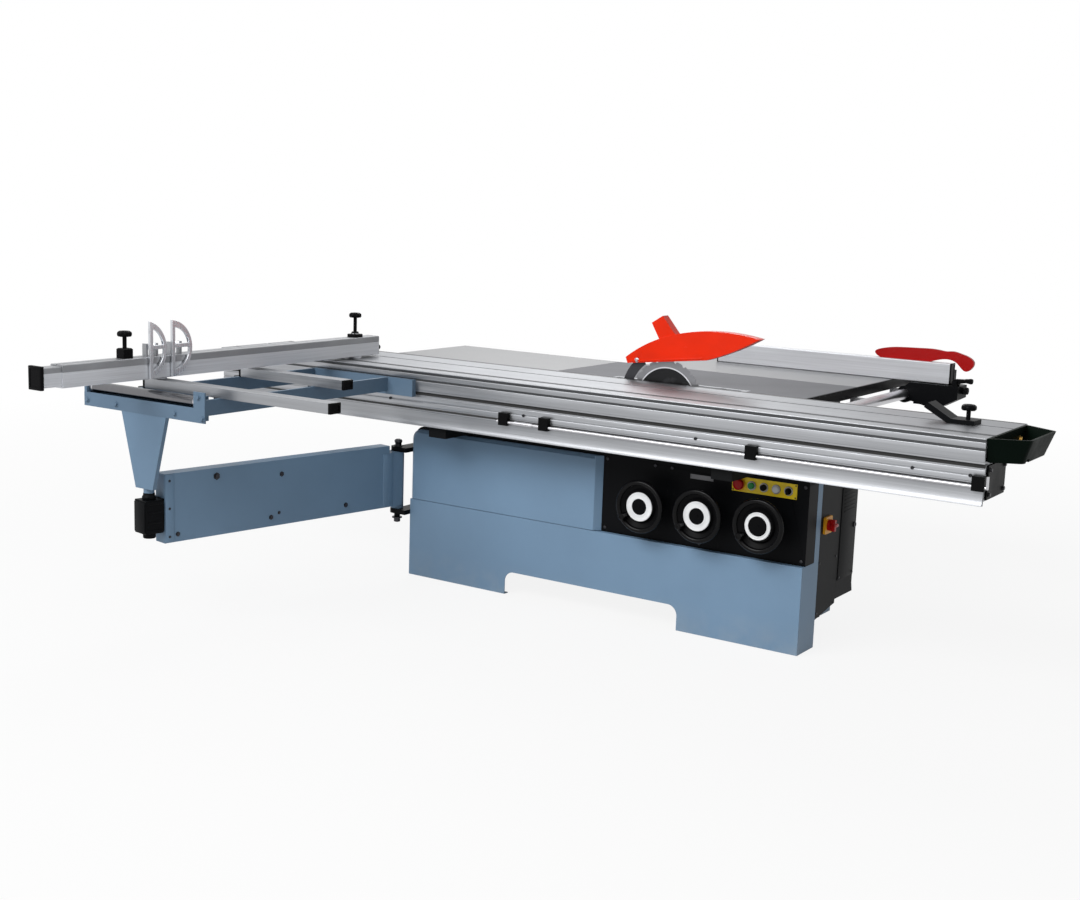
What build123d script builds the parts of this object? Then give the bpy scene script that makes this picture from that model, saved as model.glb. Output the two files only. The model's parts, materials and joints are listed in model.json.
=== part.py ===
from build123d import *
from math import atan2, cos, degrees, hypot, radians, sin, sqrt
import os

# Sliding table panel saw. The origin is on the floor, at the centre of the anchor holes under the
# cabinet.
# +X points to the operator's end, +Y to the back and +Z up. Millimetres and degrees.

# Fits and sheet
run_gap = 0.3  # between pieces that slide or swing past each other
bore_gap = 0.05  # between a pin and its bore
sheet = 3.0  # folded sheet steel

# Work surface
table_height = 850.0
table_plate = 14.0  # thickness of a top
table_rim = 40.0  # depth of a table's rim
table_wall = 12.0  # thickness of a cast rim
edge_break = 2.0  # small chamfer on the edges of a top

# Cabinet
cabinet_length = 1690.0
cabinet_depth = 620.0
cover_drop = 10.0  # the covers' top edge below the cabinet's top
frame_tube = 50.0
rail_height = 100.0  # underside of the bottom rails
pan_depth = 25.0  # folded front covers, from the face to the frame
panel_recess = 22.0  # control panel behind the cover's face
skirt_height = 310.0
skirt_clearance = 2.0  # between the sheets and the floor
seam_gap = 2.0  # between the skirt and the cover above it
arch_width = 750.0
arch_height = 92.0
arch_round = 38.0
cover_length = 857.0
cover_corner = 40.0
cover_bevel = 12.0
rear_inset = 11.0  # the rear shell's right side inside the main table's right edge
column_depth = 450.0
skirt_wrap = 134.0  # the skirt's return along the right side
corner_strip = 38.0
side_panel_length = 166.0
side_panel_foot = 127.0
side_panel_drop = 27.0
box_foot = 140.0  # underside of the electrical box
box_flare = 8.0
anchor_length = 1300.0
anchor_width = 480.0
anchor_hole = 14.0
foot_length = 120.0
foot_width = 90.0
foot_plate = 12.0
spigot_diameter = 120.0
spigot_length = 45.0
spigot_height = 300.0
spigot_wall = 3.0

# Saw blade and its place
blade_x = 149.0
blade_y = -53.0
blade_diameter = 300.0
blade_thickness = 3.2
blade_rise = 84.0
blade_teeth = 24
gullet_depth = 7.0
flange_radius = 30.0
flange_thickness = 8.0
nut_radius = 15.0
nut_reach = 22.0  # from the blade's middle plane to the tip of the nut
arbor_radius = 15.0
housing_radius = 30.0
housing_front = 13.0  # from the blade's middle plane to the bearing housing
housing_length = 100.0
pulley_gap = 8.0
pulley_width = 35.0
arbor_pulley_radius = 35.0
motor_pulley_radius = 40.0
belt_thickness = 7.0
belt_width = 28.0
motor_drop = 212.0  # motor axis below the arbor
motor_radius = 75.0
motor_length = 135.0
motor_shaft_radius = 14.0
motor_foot_width = 150.0
shelf_thickness = 15.0
carrier_plate = 20.0

# Tilt and height guides of the saw unit
tilt_radius = 280.0
tilt_ring = 40.0
tilt_ring_from = -2.0  # degrees from straight down, towards the front
tilt_ring_to = -52.0
trunnion_left = 300.0  # from the blade's centre
trunnion_right = 300.0
trunnion_plate = 20.0
cradle_depth = 25.0
cradle_front = 212.0  # from the tilt axis
cradle_back = 183.0
guide_post_radius = 14.0
guide_post_span = 290.0
guide_post_offset = 62.0  # behind the blade's plane
guide_sleeve_radius = 24.0
guide_drop = 104.0  # middle of the sleeves below the arbor
guide_sleeve_length = 60.0
lift_room = 34.0  # free height left above and below the sleeves
lug_thickness = 14.0

# Riving knife and guard
knife_inner_radius = 156.0
knife_outer_radius = 194.0
knife_thickness = 2.6
knife_low_angle = 208.0
knife_high_angle = 126.0
guard_pin_angle = 130.0
guard_pin_ring = 184.0
guard_pin_radius = 5.0
guard_width = 46.0
guard_wall = 3.0
guard_chin = (106.0, 40.0)  # from the guard's front corner
guard_shoulder = (110.0, 67.0)  # from the guard's tail
guard_mouth_inset = (6.0, 12.0)  # of the open underside, at its heel and front
guard_mouth_depth = 12.0
chimney_root = (12.0, 10.0, 40.0)  # the chimney's foot inside the guard: left, right and down
knife_arm_drop = 94.0  # below the arbor
knife_arm_height = 32.0
knife_arm_gap = 5.0

# Scoring unit
scoring_x = 384.0
scoring_diameter = 120.0
scoring_thickness = 3.2
scoring_rise = 2.0
scoring_housing_radius = 24.0
scoring_housing_length = 80.0
scoring_post_radius = 9.0
scoring_post_span = 76.0

# Table insert
insert_width = 39.0
insert_left = 225.0  # from the blade's centre
insert_right = 330.0
insert_slot_left = 212.0
insert_slot_right = 308.0
insert_slot_edge = 7.0  # from the blade's middle plane to the insert
insert_thickness = 8.0

# Main, outfeed and side tables
table_lip = 10.0  # the table's front edge in front of the blade's plane
main_left = -327.0
main_length = 1038.0
main_width = 465.0
outfeed_length = 795.0
side_left = -215.0
side_width = 768.0

# Sliding carriage
carriage_left = -1716.0
carriage_length = 3200.0
carriage_gap = 15.0  # from the blade's plane to the carriage
carriage_width = 415.0
carriage_box = 215.0
carriage_height = 79.0
carriage_wall = 8.0
carriage_relief = 10.0
slot_front = 75.0  # T-slots, from the carriage's front edge
slot_back = 265.0
slot_mouth = 12.0
slot_width = 24.0
slot_neck = 6.0
slot_depth = 16.0
slot_rib = 44.0
slot_rib_depth = 26.0
face_groove_drop = 9.0
face_groove = 5.0
face_groove_depth = 7.0
face_line_drop = 29.0

# Guide beam
beam_inset = 13.0  # behind the carriage's front edge
beam_width = 200.0
beam_height = 113.0
beam_gap = 3.0  # below the carriage
beam_wall = 8.0
beam_rib = 30.0
beam_rib_height = 17.0
strip_width = 20.0
strip_inset = 15.0
skirt_strip = 58.0
skirt_strip_drop = 14.0
skirt_strip_thickness = 3.0
beam_support = 80.0
beam_support_spread = 1200.0
beam_seat = 55.0  # height of the seats that carry the beam on the cabinet
end_plate_inset = 14.0
end_plate_thickness = 6.0
rod_radius = 6.0
rod_rise = 45.0  # above the beam's underside
rod_stand_off = 9.0
clip_width = 40.0
clip_rise = 34.0  # above the rod
rod_tail = 10.0  # beyond the end clips
clip_spots = (-281.0, -105.0, 713.0)
clip_end_inset = 14.0  # the last clip, from the beam's right end

# Push handle
handle_length = 119.0
handle_depth = 393.0
handle_taper_front = 59.0
handle_taper_back = 72.0
handle_height = 76.0
handle_lean = 26.0  # how far its outer sides lean in towards the floor of the bowl
handle_wall = 9.0
handle_floor = 12.0
handle_round = 24.0

# Outrigger
outrigger_reach = 962.0  # from the carriage's front edge to the front rail's face
outrigger_left = -1405.0
outrigger_rail_height = 48.0
outrigger_drop = 113.0  # underside of the front rail below the work surface
outrigger_sheet = 6.0
side_rail_width = 13.0
side_rail_height = 53.0
side_rail_left = -1193.0
bar_height = 35.0
bar_width = 50.0
bar_wall = 4.0
bar_left = -1180.0
bar_front_length = 853.0
bar_back_length = 505.0
bar_front_offset = 95.0  # middle of the front bar behind the front rail's face
bar_back_offset = 555.0
clamp_rail_left = -1193.0
clamp_rail_length = 503.0
clamp_rail_height = 64.0
clamp_rail_depth = 22.0
roller_radius = 19.0
roller_drop = 48.0
roller_length = 530.0
roller_inset = 13.0
roller_offset = 23.0
roller_pin_radius = 6.0
roller_bracket = 12.0
roller_plate = 52.7  # front plate beyond the roller's right end

# Swing arm and support post
hinge_left = 61.0  # hinge axis outside the cabinet's left end
hinge_front = 5.0  # and in front of its face
hinge_pin_radius = 12.0
hinge_tube_radius = 24.0
hinge_tube_low = 265.0
hinge_tube_high = 497.0
hinge_lug = 18.0
hinge_lug_width = 56.0
arm_low = 280.0
arm_height = 245.0
arm_thickness = 56.0
arm_wall = 4.0
arm_root = 34.0  # from the hinge axis to the box
arm_length = 1048.0
inner_height = 117.0
inner_length = 960.0
inner_low = 322.0
pivot_x = -1104.0
pivot_radius = 11.0
pivot_block = 70.0
pivot_tail = 34.0
post_top_width = 219.0
post_bottom_width = 84.0
post_top_reach = 109.0  # left of the pivot's axis
post_bottom_reach = 42.0
post_foot = 478.0
post_depth = 44.0  # twice the distance from its face to its pin
post_fold = 16.0  # depth of its folded sides
post_flange = 8.0

# Crosscut fence
fence_face_x = -1086.0
fence_depth = 60.0
fence_height = 75.0
fence_lift = 8.0  # underside above the work surface
fence_wall = 5.0
fence_far = 1560.0  # length of the main profile
fence_near_y = -230.0
fence_pivot_y = -342.0
fence_pad_radius = 28.0
extension_show = 34.0
extension_inside = 460.0
extension_wall = 4.0
extension_cap = 50.0  # the part that stays outside
extension_plug = 8.0
flip_left_y = -1401.0
flip_right_y = -1294.0
flip_left_width = 74.0
flip_right_width = 91.0
flip_top = 205.0  # above the work surface
flip_foot = 10.0
flip_thickness = 10.0
flip_bar = 13.0
flip_pin_radius = 5.0
flip_hub_radius = 10.0
flip_hub_length = 36.0
flip_axis_rise = 116.0  # above the work surface
flip_lug = 8.0
stop_y = -1512.0
stop_length = 40.0
stop_width = 36.0
stop_rise = 34.0  # above the fence
knob_head_radius = 22.0
knob_head_height = 18.0
knob_stem_radius = 7.0
stop_knob_top = 174.0  # above the work surface
clamp_knob_top = 179.0

# Edging shoe
shoe_end_gap = 114.0  # from the sliding table's right end
shoe_length = 90.0
shoe_width = 70.0
shoe_height = 14.0
shoe_knob_inset = 32.0
shoe_knob_top = 61.0
shoe_hook_reach = 78.0
shoe_hook_low = 43.0
shoe_hook_high = 59.0

# Rip fence
rail_radius = 20.0
rail_offset = 66.0  # from the main table's right edge
rail_drop = 50.0
rail_front = -60.0
rail_length = 1310.0
rail_bracket = 40.0
rail_bracket_height = 28.0
rail_bracket_spots = (0.0, 360.0, 760.0, 1120.0)
rip_face_y = 753.0
rip_left = -57.0
rip_length = 1000.0
rip_height = 80.0
rip_depth = 45.0
rip_wall = 4.0
rip_lift = 1.0
carrier_sleeve_radius = 33.0
carrier_length = 211.0  # from the rail's axis to the carrier's right end
carrier_depth = 104.0
carrier_drop = 90.0
carrier_post_rise = 53.0
carrier_post_left = 20.0
carrier_post_right = 166.0
carrier_post_depth = 30.0
carrier_chin = 24.0  # the slanted underside's rise to the sleeve
carrier_chin_length = 95.0
carrier_cut = (72.0, 40.0)  # left and up, off its lower right corner
lever_ear = 6.0
lever_ear_width = 16.0
lever_ear_root = 4.0
lever_inset = 4.0
lever_length = 62.0
lever_hub_radius = 13.0
lever_pin_radius = 6.0
lever_width = 26.0
lever_rise = 12.0
fine_knob_radius = 13.0
fine_knob_length = 24.0
fine_knob_drop = 20.0
stick_left = 629.0
stick_foot = 22.0  # from the tip to where it rests on the fence
stick_rest = 204.0  # length that rests on the fence
stick_thickness = 14.0
# The rest of its outline, from the end of the rest round the hook and back to the tip
stick_outline = (
    (273, 13), (303, 14), (330, 4), (347, -12), (368, -26), (389, -15), (398, 10), (379, 29),
    (347, 40), (313, 47), (287, 45), (259, 48), (179, 49), (98, 46), (36, 38), (0, 23),
)

# Handwheels and controls
wheel_diameter = 190.0
wheel_insets = (601.0, 372.0, 140.0)  # from the cabinet's right end
wheel_drop = 155.0  # below the cabinet's top
wheel_reach = 92.0  # from the panel's face to the rim's plane
wheel_rim = 9.0
wheel_hub_radius = 30.0
wheel_shaft_radius = 10.0
wheel_shaft_tail = 0.5  # from the shaft's end to the back of the panel
wheel_bush_radius = 22.0
wheel_bush_length = 14.0
crank_radius = 11.0
crank_length = 34.0
crank_ring = 68.0
crank_angle = 215.0
button_plate_inset = 288.0  # its left edge, from the cabinet's right end
button_plate_length = 243.0
button_plate_drop = 64.0  # its lower edge, below the cabinet's top
button_plate_height = 52.0
button_plate_thickness = 3.0
button_pitch = 46.0
button_radius = 11.0
button_collar_radius = 15.0
button_collar = 3.0
button_travel = 4.0
button_reach = 9.0
estop_radius = 19.0
estop_head = 12.0
isolator_y = -124.0
isolator_drop = 170.0  # below the cabinet's top
isolator_size = 60.0
isolator_thickness = 8.0
isolator_knob_radius = 20.0
isolator_knob_length = 24.0
isolator_pin_radius = 6.0

# Places worked out from the driving dimensions

left = -cabinet_length / 2
right = cabinet_length / 2
front = -cabinet_depth / 2
back = cabinet_depth / 2
frame_left = left + sheet
frame_right = right - sheet
frame_front = front + pan_depth
frame_back = back - sheet
column_back = front + column_depth
panel_face = front + panel_recess
cover_right = left + cover_length
wrap_back = front + skirt_wrap

table_under = table_height - table_plate
table_front = blade_y - table_lip
table_back = table_front + main_width
main_right = main_left + main_length
rear_right = main_right - rear_inset
side_back = table_back + side_width

arbor_z = table_height + blade_rise - blade_diameter / 2
housing_y0 = blade_y + housing_front
housing_y1 = housing_y0 + housing_length
pulley_y0 = housing_y1 + pulley_gap
pulley_y1 = pulley_y0 + pulley_width
motor_z = arbor_z - motor_drop
motor_y0 = pulley_y1 + pulley_gap
motor_y1 = motor_y0 + motor_length
shelf_top = motor_z - motor_radius
plate_y1 = housing_y1
plate_y0 = housing_y1 - carrier_plate
scoring_z = table_height + scoring_rise - scoring_diameter / 2

carriage_right = carriage_left + carriage_length
carriage_back = blade_y - carriage_gap
carriage_front = carriage_back - carriage_width
carriage_box_back = carriage_front + carriage_box
carriage_under = table_height - carriage_height
beam_front = carriage_front + beam_inset
beam_back = beam_front + beam_width
beam_top = carriage_under - beam_gap
beam_under = beam_top - beam_height
beam_middle = (beam_front + beam_back) / 2
rod_height = beam_under + rod_rise
cabinet_height = beam_under - beam_seat
cover_top = cabinet_height - cover_drop
wheel_height = cabinet_height - wheel_drop
wheel_spots = [right - inset for inset in wheel_insets]
button_plate_left = right - button_plate_inset
button_plate_low = cabinet_height - button_plate_drop
isolator_z = cabinet_height - isolator_drop

outrigger_front = carriage_front - outrigger_reach
roller_x0 = outrigger_left + roller_inset
roller_x1 = roller_x0 + roller_length
bracket_right = roller_x1 + run_gap
outrigger_right = bracket_right + roller_plate
outrigger_under = table_height - outrigger_drop
bar_under = table_height - bar_height
hinge_x = left - hinge_left
hinge_y = front - hinge_front
pivot_y = outrigger_front + post_depth / 2
arm_reach = hypot(pivot_x - hinge_x, pivot_y - hinge_y)
arm_turn = degrees(atan2(pivot_y - hinge_y, pivot_x - hinge_x))

fence_back_x = fence_face_x - fence_depth
fence_middle_x = (fence_face_x + fence_back_x) / 2
fence_under = table_height + fence_lift
fence_top = fence_under + fence_height
fence_far_y = fence_near_y - fence_far
rail_x = main_right + rail_offset
rail_z = table_height - rail_drop


# Shapes used over and over

def block(x, y, z, mode=Mode.ADD):
    """Box between two corners, each of x, y and z a pair of ends."""
    with Locations(((x[0] + x[1]) / 2, (y[0] + y[1]) / 2, (z[0] + z[1]) / 2)):
        Box(x[1] - x[0], y[1] - y[0], z[1] - z[0], mode=mode)


def rod(axis, start, end, at, radius, mode=Mode.ADD):
    """Cylinder along X, Y or Z from start to end, with its two other coordinates in at."""
    middle = (start + end) / 2
    places = {
        "x": Location((middle, at[0], at[1]), (0, 90, 0)),
        "y": Location((at[0], middle, at[1]), (90, 0, 0)),
        "z": Location((at[0], at[1], middle)),
    }
    with Locations(places[axis]):
        Cylinder(radius, end - start, mode=mode)


def outline_plane(axis, start):
    """Plane that an outline is drawn on: (y, z) along X, (x, z) along Y and (x, y) along Z."""
    return {"x": Plane.YZ.offset(start), "y": Plane.XZ.offset(-start), "z": Plane.XY.offset(start)}[axis]


def prism(axis, start, end, points, mode=Mode.ADD):
    """Straight-sided outline carried along an axis from start to end."""
    with BuildSketch(outline_plane(axis, start)) as outline:
        with BuildLine():
            Polyline(*points, close=True)
        make_face()
    extrude(outline.sketch, amount=(start - end) if axis == "y" else (end - start), mode=mode)


def ring_sector(axis, start, end, centre, inner, outer, angle_from, angle_to, mode=Mode.ADD):
    """Part of a flat ring, its angles taken from the outline's first axis towards its second."""
    with BuildSketch(outline_plane(axis, start)) as outline:
        with BuildLine():
            low = CenterArc(centre, inner, angle_from, angle_to - angle_from)
            high = CenterArc(centre, outer, angle_from, angle_to - angle_from)
            Line(low @ 0, high @ 0)
            Line(low @ 1, high @ 1)
        make_face()
    extrude(outline.sketch, amount=(start - end) if axis == "y" else (end - start), mode=mode)


def turned_y(x, z, points, mode=Mode.ADD):
    """Solid of revolution about a line along Y, its outline given as (radius, y)."""
    with BuildSketch(Plane(origin=(x, 0, z), x_dir=(1, 0, 0), z_dir=(0, 0, 1))) as outline:
        with BuildLine():
            Polyline(*points, close=True)
        make_face()
    revolve(outline.sketch, axis=Axis((x, 0, z), (0, 1, 0)), mode=mode)


def turned_z(x, y, points, mode=Mode.ADD):
    """Solid of revolution about a line along Z, its outline given as (radius, z)."""
    with BuildSketch(Plane(origin=(x, y, 0), x_dir=(1, 0, 0), z_dir=(0, -1, 0))) as outline:
        with BuildLine():
            Polyline(*points, close=True)
        make_face()
    revolve(outline.sketch, axis=Axis((x, y, 0), (0, 0, 1)), mode=mode)


def star_knob(x, y, foot, top):
    """Stem with a rounded clamping head, for turning by hand about Z."""
    neck = top - knob_head_height
    shoulder = knob_head_height / 4
    turned_z(x, y, [
        (0, foot),
        (knob_stem_radius, foot),
        (knob_stem_radius, neck),
        (knob_head_radius * 0.6, neck),
        (knob_head_radius, neck + shoulder),
        (knob_head_radius, top - shoulder),
        (knob_head_radius * 0.7, top),
        (0, top),
    ])


def finish(piece, name):
    """Names a piece and writes it to its own file."""
    piece.part.label = name
    export_step(piece.part, f"parts/{name}.step")


os.makedirs("parts", exist_ok=True)


# Cabinet

rail_z0 = rail_height
rail_z1 = rail_height + frame_tube
top_z0 = cabinet_height - frame_tube
trunnion_x = (blade_x - trunnion_left, blade_x + trunnion_right)
support_x = (-beam_support_spread / 2, beam_support_spread / 2)
pillar_x = (main_left + frame_tube, main_right - frame_tube)
pillar_y = (blade_y + frame_tube, frame_back - frame_tube / 2)
cradle_under = table_height - tilt_radius - run_gap - cradle_depth
half_tube = frame_tube / 2


def ring_of_rails(z):
    """Closed ring of tubes with the right-hand column's bay at the front."""
    block((frame_left, frame_right), (frame_front, frame_front + frame_tube), z)
    block((frame_left, rear_right - sheet), (frame_back - frame_tube, frame_back), z)
    block((frame_left, frame_left + frame_tube), (frame_front, frame_back), z)
    block((rear_right - sheet - frame_tube, rear_right - sheet), (frame_front, frame_back), z)
    block((frame_right - frame_tube, frame_right), (frame_front, wrap_back + frame_tube), z)
    block((rear_right - sheet, frame_right), (wrap_back, wrap_back + frame_tube), z)


with BuildPart() as base_frame:
    ring_of_rails((rail_z0, rail_z1))
    ring_of_rails((top_z0, cabinet_height))
    for x in (frame_left, rear_right - sheet - frame_tube):
        for y in (frame_front, frame_back - frame_tube):
            block((x, x + frame_tube), (y, y + frame_tube), (rail_z0, cabinet_height))
    block((frame_right - frame_tube, frame_right), (frame_front, frame_front + frame_tube),
        (rail_z0, cabinet_height))
    # Feet with the anchor holes
    for sx in (-1, 1):
        for sy in (-1, 1):
            hole_x = sx * anchor_length / 2
            y = sy * anchor_width / 2
            x = hole_x - sx * half_tube
            block((x - foot_length / 2, x + foot_length / 2), (y - foot_width / 2, y + foot_width / 2),
                (0, foot_plate))
            leg = x - sx * (foot_length - frame_tube) / 2
            block((leg - half_tube, leg + half_tube), (y - half_tube, y + half_tube), (0, rail_z1))
            rod("z", 0, foot_plate, (hole_x, y), anchor_hole / 2, mode=Mode.SUBTRACT)
    # Trunnion bridges with the round cradles that the tilting unit turns in
    for x in trunnion_x:
        for y in (frame_front, frame_back - frame_tube):
            block((x - half_tube, x + half_tube), (y, y + frame_tube), (rail_z0, cabinet_height))
        block((x - half_tube, x + half_tube), (frame_front, frame_back),
            (cradle_under - frame_tube, cradle_under))
        block(
            (x - trunnion_plate / 2, x + trunnion_plate / 2),
            (blade_y - cradle_front, blade_y + cradle_back),
            (cradle_under, cradle_under + 4 * cradle_depth),
        )
        rod("x", x - half_tube, x + half_tube, (blade_y, table_height), tilt_radius + run_gap,
            mode=Mode.SUBTRACT)
    # Pillars under the main table
    for x in pillar_x:
        block((x - half_tube, x + half_tube), (frame_front, frame_back), (top_z0, cabinet_height))
        for y in pillar_y:
            block((x - half_tube, x + half_tube), (y - half_tube, y + half_tube), (top_z0, table_under))
    # Seats of the guide beam
    for x in support_x:
        block(
            (x - beam_support / 2, x + beam_support / 2),
            (beam_front + beam_wall, frame_front + frame_tube),
            (cabinet_height, beam_under),
        )
    # Rounded shoulder behind the left cover's corner
    shoulder = base_frame.edges().filter_by(Axis.Y).filter_by_position(
        Axis.Z, cabinet_height - 1, cabinet_height + 1)
    fillet(shoulder.sort_by(Axis.X)[0], radius=min(cover_corner, frame_tube * 0.8))
finish(base_frame, "base_frame")

with BuildPart() as front_skirt:
    block((left, right), (front, frame_front), (skirt_clearance, skirt_height))
    block(
        (left + sheet, right - sheet),
        (front + sheet, frame_front),
        (skirt_clearance + sheet, skirt_height - sheet),
        mode=Mode.SUBTRACT,
    )
    block((-arch_width / 2, arch_width / 2), (front, frame_front), (skirt_clearance, arch_height),
          mode=Mode.SUBTRACT)
    # Round the arch's corners
    near_arch = front_skirt.edges().filter_by(Axis.Y).filter_by_position(
        Axis.X, -arch_width / 2 - 1, arch_width / 2 + 1)
    fillet(near_arch.filter_by_position(Axis.Z, arch_height - 1, arch_height + 1), radius=arch_round)
    block((right - sheet, right), (front, wrap_back), (skirt_clearance, skirt_height))
    block((right - sheet, right), (wrap_back - corner_strip, wrap_back), (skirt_clearance, cover_top))
finish(front_skirt, "front_skirt")

with BuildPart() as left_front_cover:
    cover_foot = skirt_height + seam_gap
    block((left, cover_right), (front, frame_front), (cover_foot, cover_top))
    corner = left_front_cover.edges().filter_by(Axis.Y).sort_by(Axis.Z)[-2:].sort_by(Axis.X)[0]
    fillet(corner, radius=cover_corner)
    chamfer(
        left_front_cover.faces().sort_by(Axis.Z)[-1].edges().filter_by(Axis.X).sort_by(Axis.Y)[0],
        length=cover_bevel,
    )
    block(
        (left + sheet, cover_right),
        (front + cover_bevel, frame_front),
        (cover_foot + sheet, cover_top - cover_corner),
        mode=Mode.SUBTRACT,
    )
    # Slanted return down to the control panel
    prism("z", cover_foot, cover_top, [
        (cover_right, front),
        (cover_right + panel_recess, panel_face),
        (cover_right + panel_recess, frame_front),
        (cover_right - sheet, frame_front),
        (cover_right - sheet, front),
    ])
finish(left_front_cover, "left_front_cover")

panel_left = cover_right + panel_recess
button_z = button_plate_low + button_plate_height / 2
button_x = [button_plate_left + button_plate_length / 2 + (i - 2) * button_pitch for i in range(5)]
button_bore = button_radius + run_gap

with BuildPart() as control_panel:
    block((panel_left, right), (panel_face, frame_front), (skirt_height, cabinet_height))
    block((right - sheet, right), (panel_face, wrap_back - corner_strip), (skirt_height, cover_top))
    for x in wheel_spots:
        rod("y", panel_face - wheel_bush_length, panel_face, (x, wheel_height), wheel_bush_radius)
        rod("y", panel_face - wheel_bush_length, frame_front, (x, wheel_height),
            wheel_shaft_radius + bore_gap, mode=Mode.SUBTRACT)
    for x in button_x:
        rod("y", panel_face, frame_front, (x, button_z), button_bore, mode=Mode.SUBTRACT)
finish(control_panel, "control_panel")

with BuildPart() as rear_shell:
    shell_z = (skirt_clearance, cover_top)
    block((left, rear_right), (back - sheet, back), shell_z)
    fillet(rear_shell.edges().filter_by(Axis.Y).sort_by(Axis.Z)[-2:].sort_by(Axis.X)[0], radius=cover_corner)
    block((left, left + sheet), (frame_front, back), (skirt_clearance, cover_top - cover_corner))
    block((rear_right - sheet, rear_right), (wrap_back + frame_tube, back), shell_z)
    rod("y", back, back + spigot_length, (blade_x, spigot_height), spigot_diameter / 2)
    rod("y", back - sheet, back + spigot_length, (blade_x, spigot_height),
        spigot_diameter / 2 - spigot_wall, mode=Mode.SUBTRACT)
finish(rear_shell, "rear_shell")

panel_back = wrap_back + side_panel_length

with BuildPart() as right_side_panel:
    prism("x", right - sheet, right, [
        (wrap_back, side_panel_foot - side_panel_drop),
        (panel_back, side_panel_foot),
        (panel_back, cover_top),
        (wrap_back, cover_top),
    ])
    rod("x", right - sheet, right, (isolator_y, isolator_z), isolator_pin_radius + bore_gap,
        mode=Mode.SUBTRACT)
finish(right_side_panel, "right_side_panel")

with BuildPart() as electrical_box:
    block((rear_right, right), (panel_back, column_back), (box_foot, cover_top))
    block(
        (rear_right + sheet, right - sheet),
        (panel_back + sheet, column_back - sheet),
        (box_foot + sheet, cover_top - sheet),
        mode=Mode.SUBTRACT,
    )
    prism("x", rear_right, right, [
        (column_back, box_foot),
        (column_back + box_flare, box_foot),
        (column_back, box_foot + 4 * box_flare),
    ])
finish(electrical_box, "electrical_box")

# Controls

plate_face = panel_face - button_plate_thickness

with BuildPart() as button_plate:
    block(
        (button_plate_left, button_plate_left + button_plate_length),
        (plate_face, panel_face),
        (button_plate_low, button_plate_low + button_plate_height),
    )
    for x in button_x:
        rod("y", plate_face - button_collar, plate_face, (x, button_z), button_collar_radius)
        rod("y", plate_face - button_collar, panel_face, (x, button_z), button_bore, mode=Mode.SUBTRACT)
    # Lamp, fixed in its collar
    lamp_x = button_x[3]
    turned_y(lamp_x, button_z, [
        (0, panel_face),
        (button_bore, panel_face),
        (button_bore, plate_face - button_collar - button_reach / 3),
        (button_bore * 0.7, plate_face - button_collar - button_reach),
        (0, plate_face - button_collar - button_reach),
    ])
finish(button_plate, "button_plate")

collar_face = plate_face - button_collar
button_face = collar_face - button_reach
button_tail = frame_front - button_travel - wheel_shaft_tail


def push_button(x):
    """Round push button that slides in its collar."""
    turned_y(x, button_z, [
        (0, button_tail),
        (button_radius, button_tail),
        (button_radius, button_face + 2),
        (button_radius - 2, button_face),
        (0, button_face),
    ])


with BuildPart() as start_button:
    push_button(button_x[1])
finish(start_button, "start_button")

with BuildPart() as stop_button:
    push_button(button_x[2])
finish(stop_button, "stop_button")

with BuildPart() as estop_button:
    head_back = collar_face - button_travel - 1
    turned_y(button_x[0], button_z, [
        (0, button_tail),
        (button_radius, button_tail),
        (button_radius, head_back),
        (estop_radius, head_back),
        (estop_radius, head_back - estop_head * 0.6),
        (estop_radius * 0.7, head_back - estop_head),
        (0, head_back - estop_head),
    ])
finish(estop_button, "estop_button")

with BuildPart() as selector_knob:
    x = button_x[4]
    turned_y(x, button_z, [
        (0, button_tail),
        (button_radius, button_tail),
        (button_radius, button_face + button_reach / 2),
        (0, button_face + button_reach / 2),
    ])
    block((x - button_radius / 3, x + button_radius / 3),
          (button_face - button_reach / 2, button_face + button_reach / 2),
          (button_z - button_radius * 0.9, button_z + button_radius * 0.9))
finish(selector_knob, "selector_knob")

half_isolator = isolator_size / 2

with BuildPart() as isolator_base:
    block((right, right + isolator_thickness), (isolator_y - half_isolator, isolator_y + half_isolator),
          (isolator_z - half_isolator, isolator_z + half_isolator))
    fillet(isolator_base.edges().filter_by(Axis.X), radius=isolator_thickness * 0.8)
    rod("x", right, right + isolator_thickness, (isolator_y, isolator_z),
        isolator_pin_radius + bore_gap, mode=Mode.SUBTRACT)
finish(isolator_base, "isolator_base")

with BuildPart() as isolator_knob:
    knob_x = right + isolator_thickness + run_gap
    grip_x = knob_x + isolator_knob_length / 2
    rod("x", right - sheet, knob_x, (isolator_y, isolator_z), isolator_pin_radius)
    rod("x", knob_x, grip_x, (isolator_y, isolator_z), isolator_knob_radius)
    block((grip_x, knob_x + isolator_knob_length),
          (isolator_y - isolator_knob_radius / 3, isolator_y + isolator_knob_radius / 3),
          (isolator_z - isolator_knob_radius, isolator_z + isolator_knob_radius))
finish(isolator_knob, "isolator_knob")

rim_y = panel_face - wheel_reach
rim_ring = wheel_diameter / 2 - wheel_rim


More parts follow.
